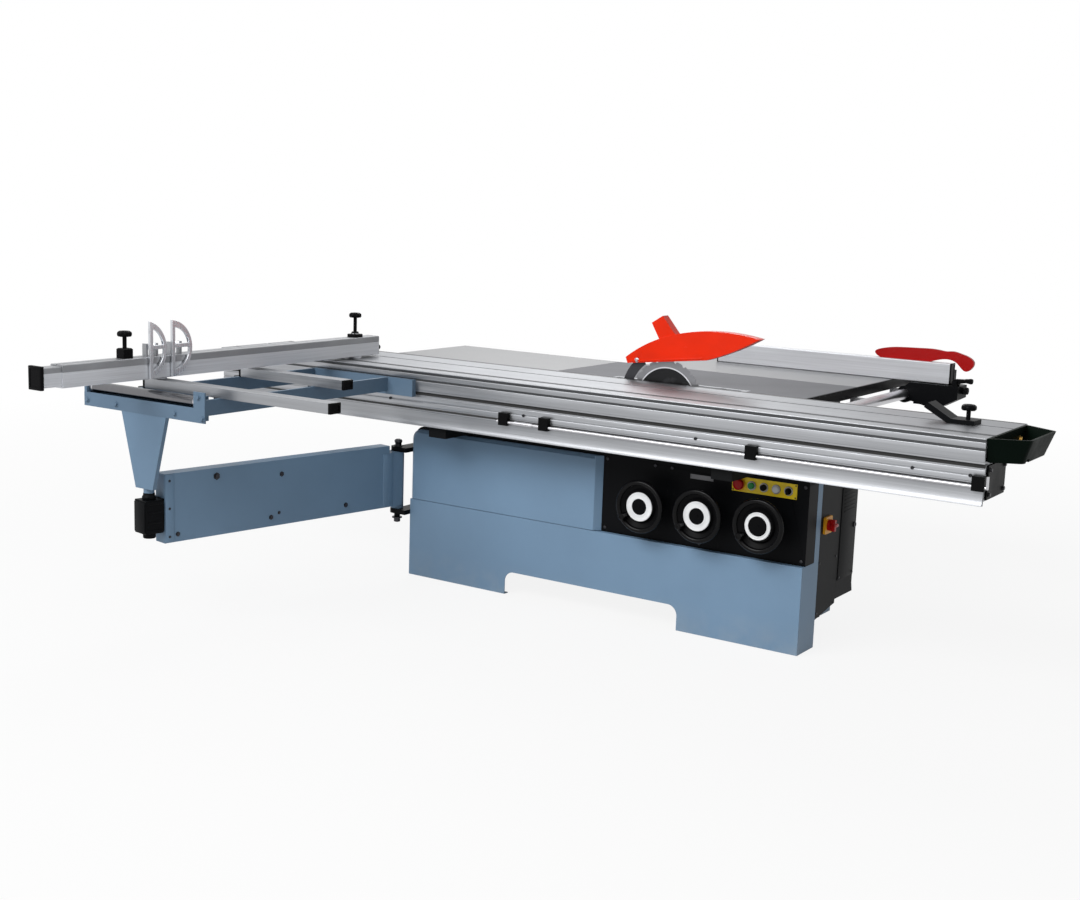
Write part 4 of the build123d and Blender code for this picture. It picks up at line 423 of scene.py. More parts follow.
def make_plastics(guard, dial):
    """Moulded and glossy plastics, and rubber."""
    finishes.update({
        "plastic": moulded_plastic("black_plastic", (0.003, 0.003, 0.0034), sheen=0.05),
        "handle": moulded_plastic("dark_handle_plastic", (0.002, 0.0052, 0.0034), rough=0.55, sheen=0.03),
        "dial": moulded_plastic("dial_ring_plastic", dial, rough=0.34, grain=1200, depth=0.00004),
        "guard": gloss_plastic("guard_plastic", guard, sheen=0.12),
        "red": gloss_plastic("red_plastic", (0.40, 0.006, 0.006), rough=0.25, sheen=0.12),
        "green": gloss_plastic("green_plastic", (0.012, 0.25, 0.05), rough=0.25),
        "yellow": gloss_plastic("yellow_plastic", (0.80, 0.36, 0.015), rough=0.3),
        "lens": gloss_plastic("dark_window", (0.001, 0.001, 0.0016), rough=0.16, coat=0.03, sheen=0.05),
        "gloss_black": gloss_plastic("gloss_black_plastic", (0.002, 0.002, 0.0024), rough=0.22, coat=0.05,
                                     sheen=0.10),
        "lamp": gloss_plastic("lamp_lens", (0.72, 0.73, 0.74)),
        "rubber": soft_rubber("belt_rubber", (0.02, 0.02, 0.02)),
    })


class PANELSAW_OT_finishes(bpy.types.Operator):
    """Make the procedural materials and give every CAD node its own"""

    bl_idname = "panelsaw.finishes"
    bl_label = "Finishes"

    def execute(self, context):
        colors = context.scene.saw_colors
        make_paints(tuple(colors.cabinet), tuple(colors.panel))
        make_metals(tuple(colors.profile))
        make_plastics(tuple(colors.guard), tuple(colors.dial))
        for finish, names in WORN_BY.items():
            for name in names.split():
                nodes[name].data.materials.clear()
                nodes[name].data.materials.append(finishes[finish])
        bare = [name for name, node in nodes.items() if node.data.materials[0] not in finishes.values()]
        if bare:
            raise RuntimeError(f"nodes without a finish: {bare}")
        return {"FINISHED"}


# Places in the frame


def corners(node):
    """Lowest and highest corner of a CAD node in mm."""
    return [Vector([round(c / MM, 3) for c in corner]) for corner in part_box(node)]


def centre(node, **given):
    """Middle of a CAD node's box in mm, with some of its coordinates given instead."""
    low, high = corners(node)
    spot = Vector([round(c, 1) for c in (low + high) / 2])
    for letter, value in given.items():
        setattr(spot, letter, value)
    return spot


def joint_place(name):
    """A spot on a joint's axis in mm."""
    joint = next(joint for joint in frame["joints"] if joint["name"] == name)
    return Vector([round(c / MM, 1) for c in joint["pos_m"]])


# Modelling by hand, in code


def metres(spot):
    return [c * MM for c in spot]


def object_mode():
    if bpy.context.mode != "OBJECT":
        bpy.ops.object.mode_set(mode="OBJECT")


def use(piece):
    """Make one piece the active and only selected object."""
    object_mode()
    bpy.ops.object.select_all(action="DESELECT")
    piece.select_set(True)
    bpy.context.view_layer.objects.active = piece


def settle(piece, matrix):
    """Move a piece by a matrix, and put its place in its mesh."""
    use(piece)
    piece.matrix_world = matrix
    bpy.ops.object.transform_apply(location=True, rotation=True, scale=True)
    return piece


def turn_about(axis, angle, spot):
    """Turn in degrees about an axis through a spot in mm."""
    pivot = Matrix.Translation(metres(spot))
    return pivot @ Matrix.Rotation(radians(angle), 4, axis) @ pivot.inverted()


def fresh(kind, name, **settings):
    """Add one primitive with nothing else selected, its place in its mesh."""
    object_mode()
    bpy.ops.object.select_all(action="DESELECT")
    getattr(bpy.ops.mesh, f"primitive_{kind}_add")(**settings)
    piece = bpy.context.active_object
    piece.name = piece.data.name = name
    bpy.ops.object.transform_apply(location=True, rotation=True, scale=True)
    return piece


def pick(piece, kind, test):
    """Select, in edit mode, the elements whose middle in mm and normal, or run of an edge, pass a test."""
    use(piece)
    bpy.ops.object.mode_set(mode="EDIT")
    bpy.ops.mesh.select_mode(type=kind)
    bpy.ops.mesh.select_all(action="DESELECT")
    mesh = bmesh.from_edit_mesh(piece.data)
    found = 0
    for item in {"VERT": mesh.verts, "EDGE": mesh.edges, "FACE": mesh.faces}[kind]:
        ends = [item] if kind == "VERT" else item.verts
        middle = sum((v.co for v in ends), Vector()) / len(ends) / MM
        normal = (ends[0].co - ends[1].co).normalized() if kind == "EDGE" else item.normal
        item.select_set(bool(test(middle, normal)))
        found += item.select
    mesh.select_flush_mode()
    bmesh.update_edit_mesh(piece.data)
    if not found:
        raise RuntimeError(f"nothing picked on {piece.name}")


def sector(away, width, shift=0.0):
    """Number of the slice, of a width in degrees, that a flat direction falls in."""
    return int((degrees(away.angle_signed(Vector((1, 0)))) + 360 + shift) // width)


def bar(name, low, high, rounding=0.0, steps=2):
    """Straight bar or plate between two corners in mm, its edges rounded."""
    middle = [(a + b) / 2 * MM for a, b in zip(low, high)]
    size = [(b - a) * MM for a, b in zip(low, high)]
    piece = fresh("cube", name, size=1, location=middle, scale=size)
    if rounding:
        pick(piece, "EDGE", lambda middle, run: True)
        bpy.ops.mesh.bevel(offset=rounding * MM, segments=steps, affect="EDGES")
        object_mode()
    return piece


def stepped(piece, side, rim, rise, taper=1.0):
    """Push the face that looks to a side out by a rise in mm, or in by a negative one, inside a rim."""
    way = Vector(side)
    pick(piece, "FACE", lambda middle, normal: normal.dot(way) > 0.99)
    bpy.ops.mesh.inset(thickness=rim * MM)
    bpy.ops.mesh.extrude_region_move(TRANSFORM_OT_translate={"value": way * rise * MM})
    if taper != 1:
        face = next(face for face in bmesh.from_edit_mesh(piece.data).faces if face.select)
        bpy.ops.transform.resize(value=(taper, taper, taper), center_override=face.calc_center_median())
    object_mode()


def turned(name, axis, spot, outline, sides=32, way=1):
    """Turn an outline of (radius, height) steps in mm about an axis, its heights counted from a spot."""
    radius, height = outline[0]
    piece = fresh("circle", name, vertices=sides, radius=radius * MM, fill_type="NGON",
                  location=(0, 0, way * height * MM))
    bpy.ops.object.mode_set(mode="EDIT")
    bpy.ops.mesh.select_all(action="SELECT")
    for (old, start), (new, end) in zip(outline, outline[1:]):
        bpy.ops.mesh.extrude_region_move(TRANSFORM_OT_translate={"value": (0, 0, way * (end - start) * MM)})
        bpy.ops.transform.resize(value=(new / old, new / old, 1), center_override=(0, 0, way * end * MM))
    bpy.ops.mesh.select_all(action="SELECT")
    bpy.ops.mesh.normals_make_consistent(inside=False)
    object_mode()
    piece.rotation_euler = {"X": (0, radians(90), 0), "Y": (radians(-90), 0, 0), "Z": (0, 0, 0)}[axis]
    piece.location = metres(spot)
    bpy.ops.object.transform_apply(location=True, rotation=True, scale=True)
    return piece


def ring(name, axis, spot, outline, sides=48):
    """Turned piece with an open middle: a wall takes the place of its two end faces."""
    piece = turned(name, axis, spot, outline, sides)
    letter = "XYZ".index(axis)
    ends = [spot[letter] + outline[step][1] for step in (0, -1)]

    def end_face(middle, normal):
        off_axis = middle - Vector(spot)
        off_axis[letter] = 0
        near_end = min(abs(middle[letter] - end) for end in ends) < 0.05
        return near_end and off_axis.length < 0.1 and abs(normal[letter]) > 0.99

    pick(piece, "FACE", end_face)
    bpy.ops.mesh.delete(type="FACE")
    bpy.ops.mesh.select_mode(type="EDGE")
    bpy.ops.mesh.select_non_manifold()
    bpy.ops.mesh.bridge_edge_loops()
    bpy.ops.mesh.select_all(action="SELECT")
    bpy.ops.mesh.normals_make_consistent(inside=False)
    object_mode()
    return piece


def hexagon_bolt(name, axis, spot, way, size=6.5):
    """Hexagon head on a washer, standing on a spot of a face, up or down an axis."""
    steps = [(1.55, -0.4), (1.55, 0.22), (1.0, 0.22), (1.0, 0.78), (0.86, 0.92), (0.5, 0.92)]
    return turned(name, axis, spot, [(r * size, h * size) for r, h in steps], 6, way)


def button_screw(name, axis, spot, way, size=6.0):
    """Round socket screw, standing on a spot of a face, up or down an axis."""
    steps = [(1.0, -0.3), (1.0, 0.14), (0.92, 0.42), (0.7, 0.58), (0.44, 0.6), (0.4, 0.3)]
    return turned(name, axis, spot, [(r * size, h * size) for r, h in steps], 16, way)


def copy_of(piece, name, move=(0, 0, 0), turn=0.0, about=(0, 0, 0)):
    """Copy with its own mesh, turned about Z at a spot and then moved, in mm and degrees."""
    use(piece)
    bpy.ops.object.duplicate()
    copy = bpy.context.active_object
    copy.name = copy.data.name = name
    return settle(copy, Matrix.Translation(metres(move)) @ turn_about("Z", turn, about))


def joined(pieces, name):
    """One piece out of several."""
    use(pieces[0])
    for piece in pieces:
        piece.select_set(True)
    bpy.ops.object.join()
    pieces[0].name = pieces[0].data.name = name
    return pieces[0]


def repeat(piece, moves):
    """Join copies of a piece to it, each moved in mm."""
    copies = [copy_of(piece, f"{piece.name}_copy", move) for move in moves]
    return joined([piece, *copies], piece.name)


def paint(piece, finish, test):
    """Give the faces that pass a test a finish of their own."""
    piece.data.materials.append(finishes[finish])
    pick(piece, "FACE", test)
    piece.active_material_index = len(piece.data.materials) - 1
    bpy.ops.object.material_slot_assign()
    object_mode()


def dress(piece, finish, body="machine", angle=35):
    """Smooth a finished piece, give it its finish and hang it on its body."""
    use(piece)
    bpy.ops.object.shade_smooth_by_angle(angle=radians(angle))
    if piece.data.materials:
        piece.data.materials[0] = finishes[finish]
    else:
        piece.data.materials.append(finishes[finish])
    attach(piece, body)
    return piece


# Handwheels and controls

WHEELS = ("tilt_handwheel", "lift_handwheel", "scoring_handwheel")
RIM_SETBACK = 34.0
RIM_RADIUS = 86.0
RIM_THICKNESS = 18.8
FINGER_HOLLOW = 2.2
CRANK_RADIUS = 68.0
CRANK_ANGLE = radians(215)
WIDE_RING = (52.0, 29.0)
SMALL_RING = (48.0, 34.5)


def wheel_hub(body):
    """Middle of a wheel in the plane of its rim, behind the crank's end."""
    return centre(body, y=corners(body)[0].y + RIM_SETBACK)


def wheel_dial(name, hub, outer, window):
    """White ring round a sunk dark window, with a low rim inside and outside."""
    return turned(name, "Y", hub, [
        (40, -4), (outer, -4), (outer, 2.6), (outer - 0.9, 3.8), (outer - 2.3, 4.2), (outer - 3.7, 3.4),
        (window + 3.4, 3.4), (window + 2, 4.2), (window + 0.6, 3.8), (window, 2.6), (window, 0.6),
        (4.5, 0.6), (4, 2.2), (2.4, 2.6),
    ], 64, -1)


def wheel_rim(hub):
    """Round rim with finger hollows along its back."""
    piece = fresh("torus", "rim_pattern", major_radius=RIM_RADIUS * MM,
                  minor_radius=RIM_THICKNESS / 2 * MM, major_segments=90, minor_segments=14,
                  rotation=(radians(90), 0, 0), location=metres(hub))

    def in_hollow(middle, normal):
        return middle.y > hub.y + 4 and sector((middle - hub).xz, 4) % 3 == 0

    pick(piece, "VERT", in_hollow)
    bpy.ops.transform.translate(value=(0, -FINGER_HOLLOW * MM, 0))
    object_mode()
    return piece


def wheel_grip(hub):
    """Waisted grip that covers the crank."""
    spot = hub + CRANK_RADIUS * Vector((cos(CRANK_ANGLE), 0, sin(CRANK_ANGLE)))
    return turned("grip_pattern", "Y", spot, [
        (9, 3), (13, 5), (13.6, 8), (11.8, 14), (11.6, 20), (12.6, 28), (12, 33), (9.5, 35.6), (4.4, 36),
        (3.8, 34.6),
    ], 28, -1)


class PANELSAW_OT_handwheels(bpy.types.Operator):
    """Dial rings, rims with finger hollows and crank grips of the three handwheels"""

    bl_idname = "panelsaw.handwheels"
    bl_label = "Handwheels"

    def execute(self, context):
        first = wheel_hub(WHEELS[0])
        rim = wheel_rim(first)
        grip = wheel_grip(first)
        for body in WHEELS:
            hub = wheel_hub(body)
            outer, window = SMALL_RING if body == "scoring_handwheel" else WIDE_RING
            dial = dress(wheel_dial(f"{body}_dial", hub, outer, window), "dial", body)
            paint(dial, "lens", lambda middle, normal: (middle - hub).xz.length < window)
            dress(copy_of(rim, f"{body}_rim", hub - first), "gloss_black", body, 60)
            dress(copy_of(grip, f"{body}_grip", hub - first), "gloss_black", body)
        for pattern in (rim, grip):
            bpy.data.objects.remove(pattern)
        return {"FINISHED"}


BUTTON_PLATE_THICKNESS = 3.0
RATING_PLATE = (91.0, 17.0)
RATING_PLATE_PLACE = (358.0, 245.0)
PANEL_SCREW_INSET = 16.0
PANEL_SCREWS_WIDE = 780.0
PANEL_SCREWS_TALL = 256.0
PANEL_SCREWS_ABOVE = (268.0, 200.0)
PLATE_SCREW_INSET = (4.5, 5.0)


def push_buttons(face):
    """Collars in a row, the lamp's lens and the dished caps of the two push buttons."""
    row = ("start_button", "stop_button", "selector_knob")
    start, stop, selector = [centre(node, y=face) for node in row]
    lamp = (stop + selector) / 2
    collar = turned("button_collars", "Y", start, [
        (12.4, -0.5), (16, -0.5), (16, 4.2), (15, 5.6), (12.6, 5.6), (12.2, 4.6), (12.2, 0.5),
    ], 28, -1)
    repeat(collar, [spot - start for spot in (stop, lamp, selector)])
    dress(collar, "collar")
    lens = turned("lamp_lens", "Y", lamp, [
        (11.4, 3), (11.8, 6), (11.8, 9), (10.6, 12.4), (8, 14.4), (4, 15.4),
    ], 28, -1)
    dress(lens, "lamp")
    for body, finish in (("start_button", "green"), ("stop_button", "plastic")):
        cap = turned(f"{body}_cap", "Y", centre(body, y=corners(body)[0].y), [
            (10.2, -3), (11, -2), (11, 0.4), (10, 1.2), (8.4, 1.3), (7.6, 0.7), (2, 0.4),
        ], 28, -1)
        dress(cap, finish, body)


def emergency_stop(face):
    """Mushroom head over a yellow foot."""
    spot = centre("estop_button", y=face)
    head = turned("estop_head", "Y", spot, [
        (16, 8), (19.2, 9), (19.6, 12), (19.2, 16.5), (16.5, 20), (11, 21.6), (4, 22),
    ], 36, -1)
    dress(head, "red", "estop_button")
    foot = turned("estop_foot", "Y", spot, [
        (15, -0.5), (20.5, -0.5), (20.5, 3), (19, 4.5), (15.5, 4.5), (14, 8.5),
    ], 36, -1)
    dress(foot, "yellow")


def rating_plate(face):
    """Bare metal plate held by two rivets."""
    low = corners("control_panel")[0]
    left, foot = low.x + RATING_PLATE_PLACE[0], low.z + RATING_PLATE_PLACE[1]
    length, height = RATING_PLATE
    rivet_inset = 4.5
    plate = bar("rating_plate", (left, face - 1.2, foot), (left + length, face + 1, foot + height),
                0.5, 1)
    stepped(plate, (0, -1, 0), 2.2, -0.4)
    rivet = turned("rating_plate_rivets", "Y", (left + rivet_inset, face, foot + height / 2), [
        (1.9, 0.6), (1.9, 1.8), (1.2, 2.4),
    ], 14, -1)
    repeat(rivet, [(length - 2 * rivet_inset, 0, 0)])
    dress(joined([plate, rivet], "rating_plate"), "silver_plate")


def panel_screws(panel_face, plate_face):
    """Button head screws round the panel's edge and small ones on the yellow plate."""
    low = corners("control_panel")[0]
    spot = (low.x + PANEL_SCREW_INSET, panel_face, low.z + PANEL_SCREW_INSET)
    screw = turned("panel_screws", "Y", spot, [
        (6.5, -0.4), (6.5, 0.8), (5.6, 2.6), (4, 3.4), (2.5, 3.5), (2.3, 1.8),
    ], 18, -1)
    wide, tall = PANEL_SCREWS_WIDE, PANEL_SCREWS_TALL
    repeat(screw, [(0, 0, tall), (wide, 0, 0), (wide, 0, tall), (wide / 2, 0, 0),
                   *((x, 0, tall) for x in PANEL_SCREWS_ABOVE)])
    dress(screw, "dark_steel")
    low, high = corners("button_plate")
    aside, up = PLATE_SCREW_INSET
    small = turned("plate_screws", "Y", (low.x + aside, plate_face, low.z + up), [
        (2.8, -0.4), (2.8, 0.8), (2, 1.6), (1.1, 1.6), (1, 0.8),
    ], 14, -1)
    wide, tall = high.x - low.x - 2 * aside, high.z - low.z - 2 * up
    repeat(small, [(wide, 0, 0), (0, 0, tall), (wide, 0, tall)])
    dress(small, "dark_steel")


class PANELSAW_OT_controls(bpy.types.Operator):
    """Button collars and caps, lamp, bare rating plate and screws on the control panel"""

    bl_idname = "panelsaw.controls"
    bl_label = "Controls"

    def execute(self, context):
        panel_face = corners("button_plate")[1].y
        face = panel_face - BUTTON_PLATE_THICKNESS
        push_buttons(face)
        emergency_stop(face)
        knob = centre("selector_knob", y=corners("selector_knob")[0].y)
        lever = bar("selector_grip", knob + Vector((-3.8, -5, -10.5)), knob + Vector((3.8, 3.5, 10.5)),
                    2.4, 3)
        dress(lever, "plastic", "selector_knob")
        rating_plate(panel_face)
        panel_screws(panel_face, face)
        return {"FINISHED"}


# Beam, sliding table and outrigger

STRIP_END_GAP = 0.4
FLARE_ROWS = 7
FLARE_LEANS = (9.0, 5.4, 3.1, 1.6, 0.6)
BEAM_SCREWS = (-201.0, 1258.0, 1440.0, 501.0, -821.0, -1441.0)
BEAM_SCREW_HEIGHT = 90.0
END_BOLT_INSET = 16.0
END_BOLT_RISE = 76.0


def strips(name, node, sections):
    """Bars along a node, each by near, far, foot and head from its lower front edge, rounding, steps."""
    low, high = corners(node)
    bars = []
    for near, far, foot, head, rounding, steps in sections:
        start = (low.x + STRIP_END_GAP, low.y + near, low.z + foot)
        end = (high.x - STRIP_END_GAP, low.y + far, low.z + head)
        bars.append(bar(name, start, end, rounding, steps))
    return joined(bars, name)


def beam_flare():
    """Front sheet of the beam, its lower edge leaning out and rolled."""
    low, high = corners("guide_beam")
    foot, head = low.z + 0.5, low.z + 56
    sheet = bar("beam_flare", (low.x + STRIP_END_GAP, low.y - 2.2, foot),
                (high.x - STRIP_END_GAP, low.y + 0.6, head))
    pick(sheet, "EDGE", lambda middle, run: abs(run.z) > 0.9)
    bpy.ops.mesh.subdivide(number_cuts=FLARE_ROWS - 1)
    for row, lean in enumerate(FLARE_LEANS):
        z = foot + row * (head - foot) / FLARE_ROWS
        pick(sheet, "VERT", lambda middle, normal: abs(middle.z - z) < 1)
        bpy.ops.transform.translate(value=(0, -lean * MM, 0))
    pick(sheet, "EDGE", lambda middle, run: middle.z < foot + 0.5 and abs(run.x) > 0.9)
    bpy.ops.mesh.bevel(offset=0.9 * MM, segments=2, affect="EDGES")
    object_mode()
    dress(sheet, "alloy_bright", angle=50)


def beam_screws():
    """Socket screws along the beam's face."""
    low = corners("guide_beam")[0]
    first, *others = BEAM_SCREWS
    screw = turned("beam_screws", "Y", (first, low.y, low.z + BEAM_SCREW_HEIGHT), [
        (5.4, -2), (5.4, 2.2), (4.8, 3), (3, 3), (2.8, 0),
    ], 18, -1)
    repeat(screw, [(x - first, 0, 0) for x in others])
    dress(screw, "dark_steel")


def end_bolts():
    """Hexagon bolts through the plates at the beam's ends."""
    low, high = corners("beam_end_plates")
    bolt = turned("end_plate_bolts", "X", (high.x, low.y + END_BOLT_INSET, low.z + END_BOLT_INSET), [
        (9, -0.4), (9, 1.2), (6.8, 1.2), (6.8, 5.2), (6, 6),
    ], 6)
    across = high.y - low.y - 2 * END_BOLT_INSET
    repeat(bolt, [(0, across, 0), (0, 0, END_BOLT_RISE), (0, across, END_BOLT_RISE)])
    end = centre("beam_end_plates", x=high.x)
    far = copy_of(bolt, "end_plate_bolts_left", (low.x - high.x, 0, 0), 180, end)
    dress(bolt, "dark_steel")
    dress(far, "dark_steel")


class PANELSAW_OT_beam(bpy.types.Operator):
    """Rounded bands, strips of painted shade, flared front sheet, screws and end bolts of the beam and the
    sliding table
    """

    bl_idname = "panelsaw.beam"
    bl_label = "Beam and sliding table"

    def execute(self, context):
        bands = strips("table_bands", "sliding_carriage", [
            (-2.6, 2.0, 74.6, 78.8, 1.7, 3),
            (-3.0, 1.0, 48.0, 66.4, 1.7, 3),
            (-2.4, 1.4, 6.0, 40.6, 1.7, 3),
        ])
        dress(bands, "alloy_x", "sliding_table")
        # Dark strips of painted shade: in the two grooves between the front bands, and painted slot shadows
        # beside the T-slots on top.
        groove_shade = strips("table_groove_shade", "sliding_carriage", [
            (-0.7, 1.0, 65.0, 76.0, 0.3, 1),
            (-0.9, 1.0, 39.6, 49.0, 0.3, 1),
            (59.0, 69.0, 78.4, 79.2, 0.3, 1),
            (81.0, 91.0, 78.4, 79.2, 0.3, 1),
            (393.0, 413.0, 78.4, 79.2, 0.3, 1),
        ])
        dress(groove_shade, "groove_shade_alloy", "sliding_table")
        ribs = strips("beam_bands", "guide_beam", [
            (0.2, 4.0, 92.0, 111.0, 1.7, 3),
            (0.2, 4.0, 72.0, 89.0, 1.7, 3),
            (-2.0, 0.4, 56.6, 61.0, 1.1, 2),
        ])
        dress(ribs, "beam_alloy")
        # Black strips of painted shade in the gap under the sliding table and under the beam's lip, in the
        # belt's rubber finish.
        gap_shade = strips("beam_gap_shade", "guide_beam", [
            (-0.2, 4.0, 116.0, 133.0, 1.4, 2),
            (0.8, 4.0, 61.6, 68.0, 0.4, 1),
        ])
        dress(gap_shade, "rubber")
        beam_flare()
        beam_screws()
        end_bolts()
        return {"FINISHED"}


HINGE = joint_place("arm_swing")
PIVOT = joint_place("post_turn")
ARM_TURN = round(degrees(atan2(PIVOT.y - HINGE.y, PIVOT.x - HINGE.x)), 2)
ARM_HALF = 28.0
SUPPORT_BAR_HALF = 25.0
SHORT_BAR_END = -675.0
RAIL_CLAMPS = (-830.0, -1200.0)
ROLLER_AXLE_END = 12.0
CHANNEL_BOLTS = ((-1388, 758), (-1240, 757), (-950, 757), (-820, 752), (-838, 822))
ARM_FLANGES = ((52, 100, 285, 495), (1046, 1081, 282, 523))
ARM_BOLTS = (
    (870, 495, 9), (587, 471, 6.5), (285, 316, 6.5), (598, 327, 4.5), (634, 314, 6.5), (1030, 307, 6))
ARM_RIVETS = ((1064, 302), (1064, 402), (1064, 500))
PIVOT_BLOCK = (1094.0, 1158.0)
HINGE_BOLTS = (262, 330, 430, 498)


def on_arm(piece):
    """Carry a piece from arm coordinates (along, outwards, up) to the swing arm's place."""
    hinge = Matrix.Translation((HINGE.x * MM, HINGE.y * MM, 0))
    return settle(piece, hinge @ Matrix.Rotation(radians(ARM_TURN), 4, "Z"))


def bar_caps():
    """Plastic caps in the ends of the two support bars."""
    low, high = corners("support_bars")
    half = SUPPORT_BAR_HALF + 0.8
    caps = []
    for y, end in ((low.y + SUPPORT_BAR_HALF, high.x), (high.y - SUPPORT_BAR_HALF, SHORT_BAR_END)):
        for x, way in ((low.x, -1), (end, 1)):
            near, far = sorted((x - way * 6, x + way * 5))
            cap = bar("bar_cap", (near, y - half, low.z - 0.8), (far, y + half, high.z), 2.2, 3)
            stepped(cap, (way, 0, 0), 6, -2.4)
            caps.append(cap)
    dress(joined(caps, "support_bar_caps"), "plastic", "sliding_table")


def roller_fittings():
    """Collars on the roller's ends and bosses on the brackets that hold it."""
    low, high = corners("outrigger_roller")
    left, right = low.x + ROLLER_AXLE_END, high.x - ROLLER_AXLE_END
    near = turned("roller_collars", "X", centre("outrigger_roller", x=left), [
        (12, 0.6), (18, 0.4), (19.7, 3), (19.7, 14), (19.2, 15.5),
    ])
    far = copy_of(near, "roller_collar_far", turn=180, about=centre("outrigger_roller"))
    dress(joined([near, far], "roller_collars"), "steel_x", "outrigger_roller")
    bosses = [turned("roller_boss", "X", centre("outrigger_roller", x=x), [
        (13, -7.4), (13, 7.4), (12, 8.6), (8.6, 8.6), (8, 7), (6.6, 7),
    ], 28, way) for x, way in ((left - 7, -1), (right + 7, 1))]
    dress(joined(bosses, "roller_bosses"), "dark_steel", "sliding_table")


def rail_clamps():
    """Black clamp blocks under the support bars and the bolts on the outrigger's front channel."""
    low, high = corners("support_bars")
    blocks = []
    for x in RAIL_CLAMPS:
        for y in (low.y + SUPPORT_BAR_HALF, high.y - SUPPORT_BAR_HALF):
            block = bar("rail_clamp", (x - 18, y - 19, low.z - 19), (x + 18, y + 19, low.z + 0.6), 3, 2)
            stepped(block, (0, 0, -1), 7, 7)
            blocks.append(block)
    dress(joined(blocks, "rail_clamps"), "plastic", "sliding_table")
    face = corners("outrigger_frame")[0].y
    bolts = [hexagon_bolt("channel_bolt", "Y", (x, face, z), -1, 7) for x, z in CHANNEL_BOLTS]
    # The channel bolts wear the outrigger's darker copy of the cabinet paint, which is painted shade.
    dress(joined(bolts, "channel_bolts"), "blue_outrigger_shaded", "sliding_table")


def arm_fittings():
    """Folded flanges at the arm's ends and the bolts on both its faces."""
    inner, outer = ARM_HALF - 0.6, ARM_HALF + 3.4
    sides = ((inner, outer), (-outer, -inner))
    flanges = [bar("arm_flange", (start, near, low), (end, far, high), 1.6, 2)
               for start, end, low, high in ARM_FLANGES for near, far in sides]
    # The flanges wear the arm's slightly darker copy of the cabinet paint, which is painted shade.
    dress(on_arm(joined(flanges, "arm_flanges")), "blue_arm_shaded", "swing_arm")
    bolts = [hexagon_bolt("arm_bolt", "Y", (along, way * ARM_HALF, z), way, size)
             for way in (1, -1) for along, z, size in ARM_BOLTS]
    rivets = [hexagon_bolt("arm_rivet", "Y", (along, way * (ARM_HALF + 3.2), z), way, 3.4)
              for along, z in ARM_RIVETS for way in (1, -1)]
    dress(on_arm(joined(bolts + rivets, "arm_bolts")), "dark_steel", "swing_arm")


def pivot_fittings():
    """End plate, ribs and collars of the pivot block."""
    foot, head = [corner.z for corner in corners("inner_arm")]
    start, end = PIVOT_BLOCK
    plates = [bar("pivot_plate", (end, -33, foot + 5), (end + 7, 33, head - 5), 2.5, 2)]
    for low, high in ((head - 15, head - 3), (foot + 3, foot + 15)):
        plates.append(bar("pivot_lip", (start, -37.5, low), (end, 37.5, high), 3, 2))
    for low, high in ((head - 45, head - 37), (foot + 36, foot + 44)):
        plates.append(bar("pivot_rib", (start + 6, -37, low), (end - 6, 37, high), 2, 2))
    dress(on_arm(joined(plates, "pivot_ribs")), "black", "inner_arm")
    high = turned("pivot_collar_high", "Z", (PIVOT.x, PIVOT.y, head), [
        (15, 0.6), (23, 0.6), (24, 3), (24, 10), (21, 14), (19.4, 23),
    ])
    low = turned("pivot_collar_low", "Z", (PIVOT.x, PIVOT.y, foot), [
        (12, 17), (15, 19), (20.5, 19), (22, 16), (22, 4), (20, 0.6),
    ], way=-1)
    dress(joined([high, low], "pivot_collars"), "black", "support_post")


def hinge_fittings():
    """Round pin head, pin foot and wall bolts of the arm's hinge."""
    low, high = corners("hinge_bracket")
    knob = turned("hinge_pin_head", "Z", (HINGE.x, HINGE.y, high.z), [
        (17, -17.4), (17, -14), (12.6, -13), (12.6, -7), (15, -3), (16, 2), (14, 7), (8, 10),
    ], 28)
    foot = turned("hinge_pin_foot", "Z", (HINGE.x, HINGE.y, low.z), [
        (8, -4), (12.8, -2), (12.8, 11), (20, 13), (20, 17.5), (18, 18),
    ], 28)
    bolts = [hexagon_bolt("hinge_bolt", "X", (high.x - 18, high.y - 28, z), -1, 7) for z in HINGE_BOLTS]
    dress(joined([knob, foot, *bolts], "hinge_fittings"), "dark_steel")


class PANELSAW_OT_outrigger(bpy.types.Operator):
    """End caps, roller collars, clamps, arm flanges, bolts and pivot fittings"""

    bl_idname = "panelsaw.outrigger"
    bl_label = "Outrigger and swing arm"

    def execute(self, context):
        bar_caps()
        roller_fittings()
        rail_clamps()
        arm_fittings()
        pivot_fittings()
        hinge_fittings()
        return {"FINISHED"}


# Fences and blade guard


def crosscut_caps():
    """Plug in the extension's end, plate and pull knob on the fence's near end."""
    tip, top = corners("fence_extension")
    plug = bar("extension_plug", (tip.x - 1.2, tip.y - 2.4, tip.z - 1.2),
               (top.x + 1.2, tip.y + 11, top.z + 1.2), 2.5, 3)
    stepped(plug, (0, -1, 0), 7, -1.2)
    dress(plug, "plastic", "fence_extension")
    near = corners("crosscut_fence")[1].y
    cap = bar("fence_near_cap", (tip.x + 0.4, near - 1, tip.z + 0.4),
              (top.x - 0.4, near + 3.6, top.z - 0.4), 1.6, 3)
    stepped(cap, (0, 1, 0), 7, -1.2)
    dress(cap, "alloy_cast", "crosscut_fence")
    pull = turned("fence_near_knob", "Y", (top.x - 16, near, tip.z + 28), [
        (5, 3), (5, 8), (9.4, 9), (10, 12), (10, 18), (8.6, 20), (4, 20.6),
    ], 24)
    dress(pull, "plastic", "crosscut_fence")


def clamp_base():
    """Stepped black foot under the clamp knob."""
    spot = centre("fence_clamp_knob", z=corners("fence_extension")[1].z)
    base = bar("clamp_knob_foot", spot + Vector((-21, -24, -0.6)), spot + Vector((21, 24, 13)), 3, 2)
    stepped(base, (0, 0, 1), 8, 9, 0.8)
    dress(base, "plastic", "crosscut_fence")


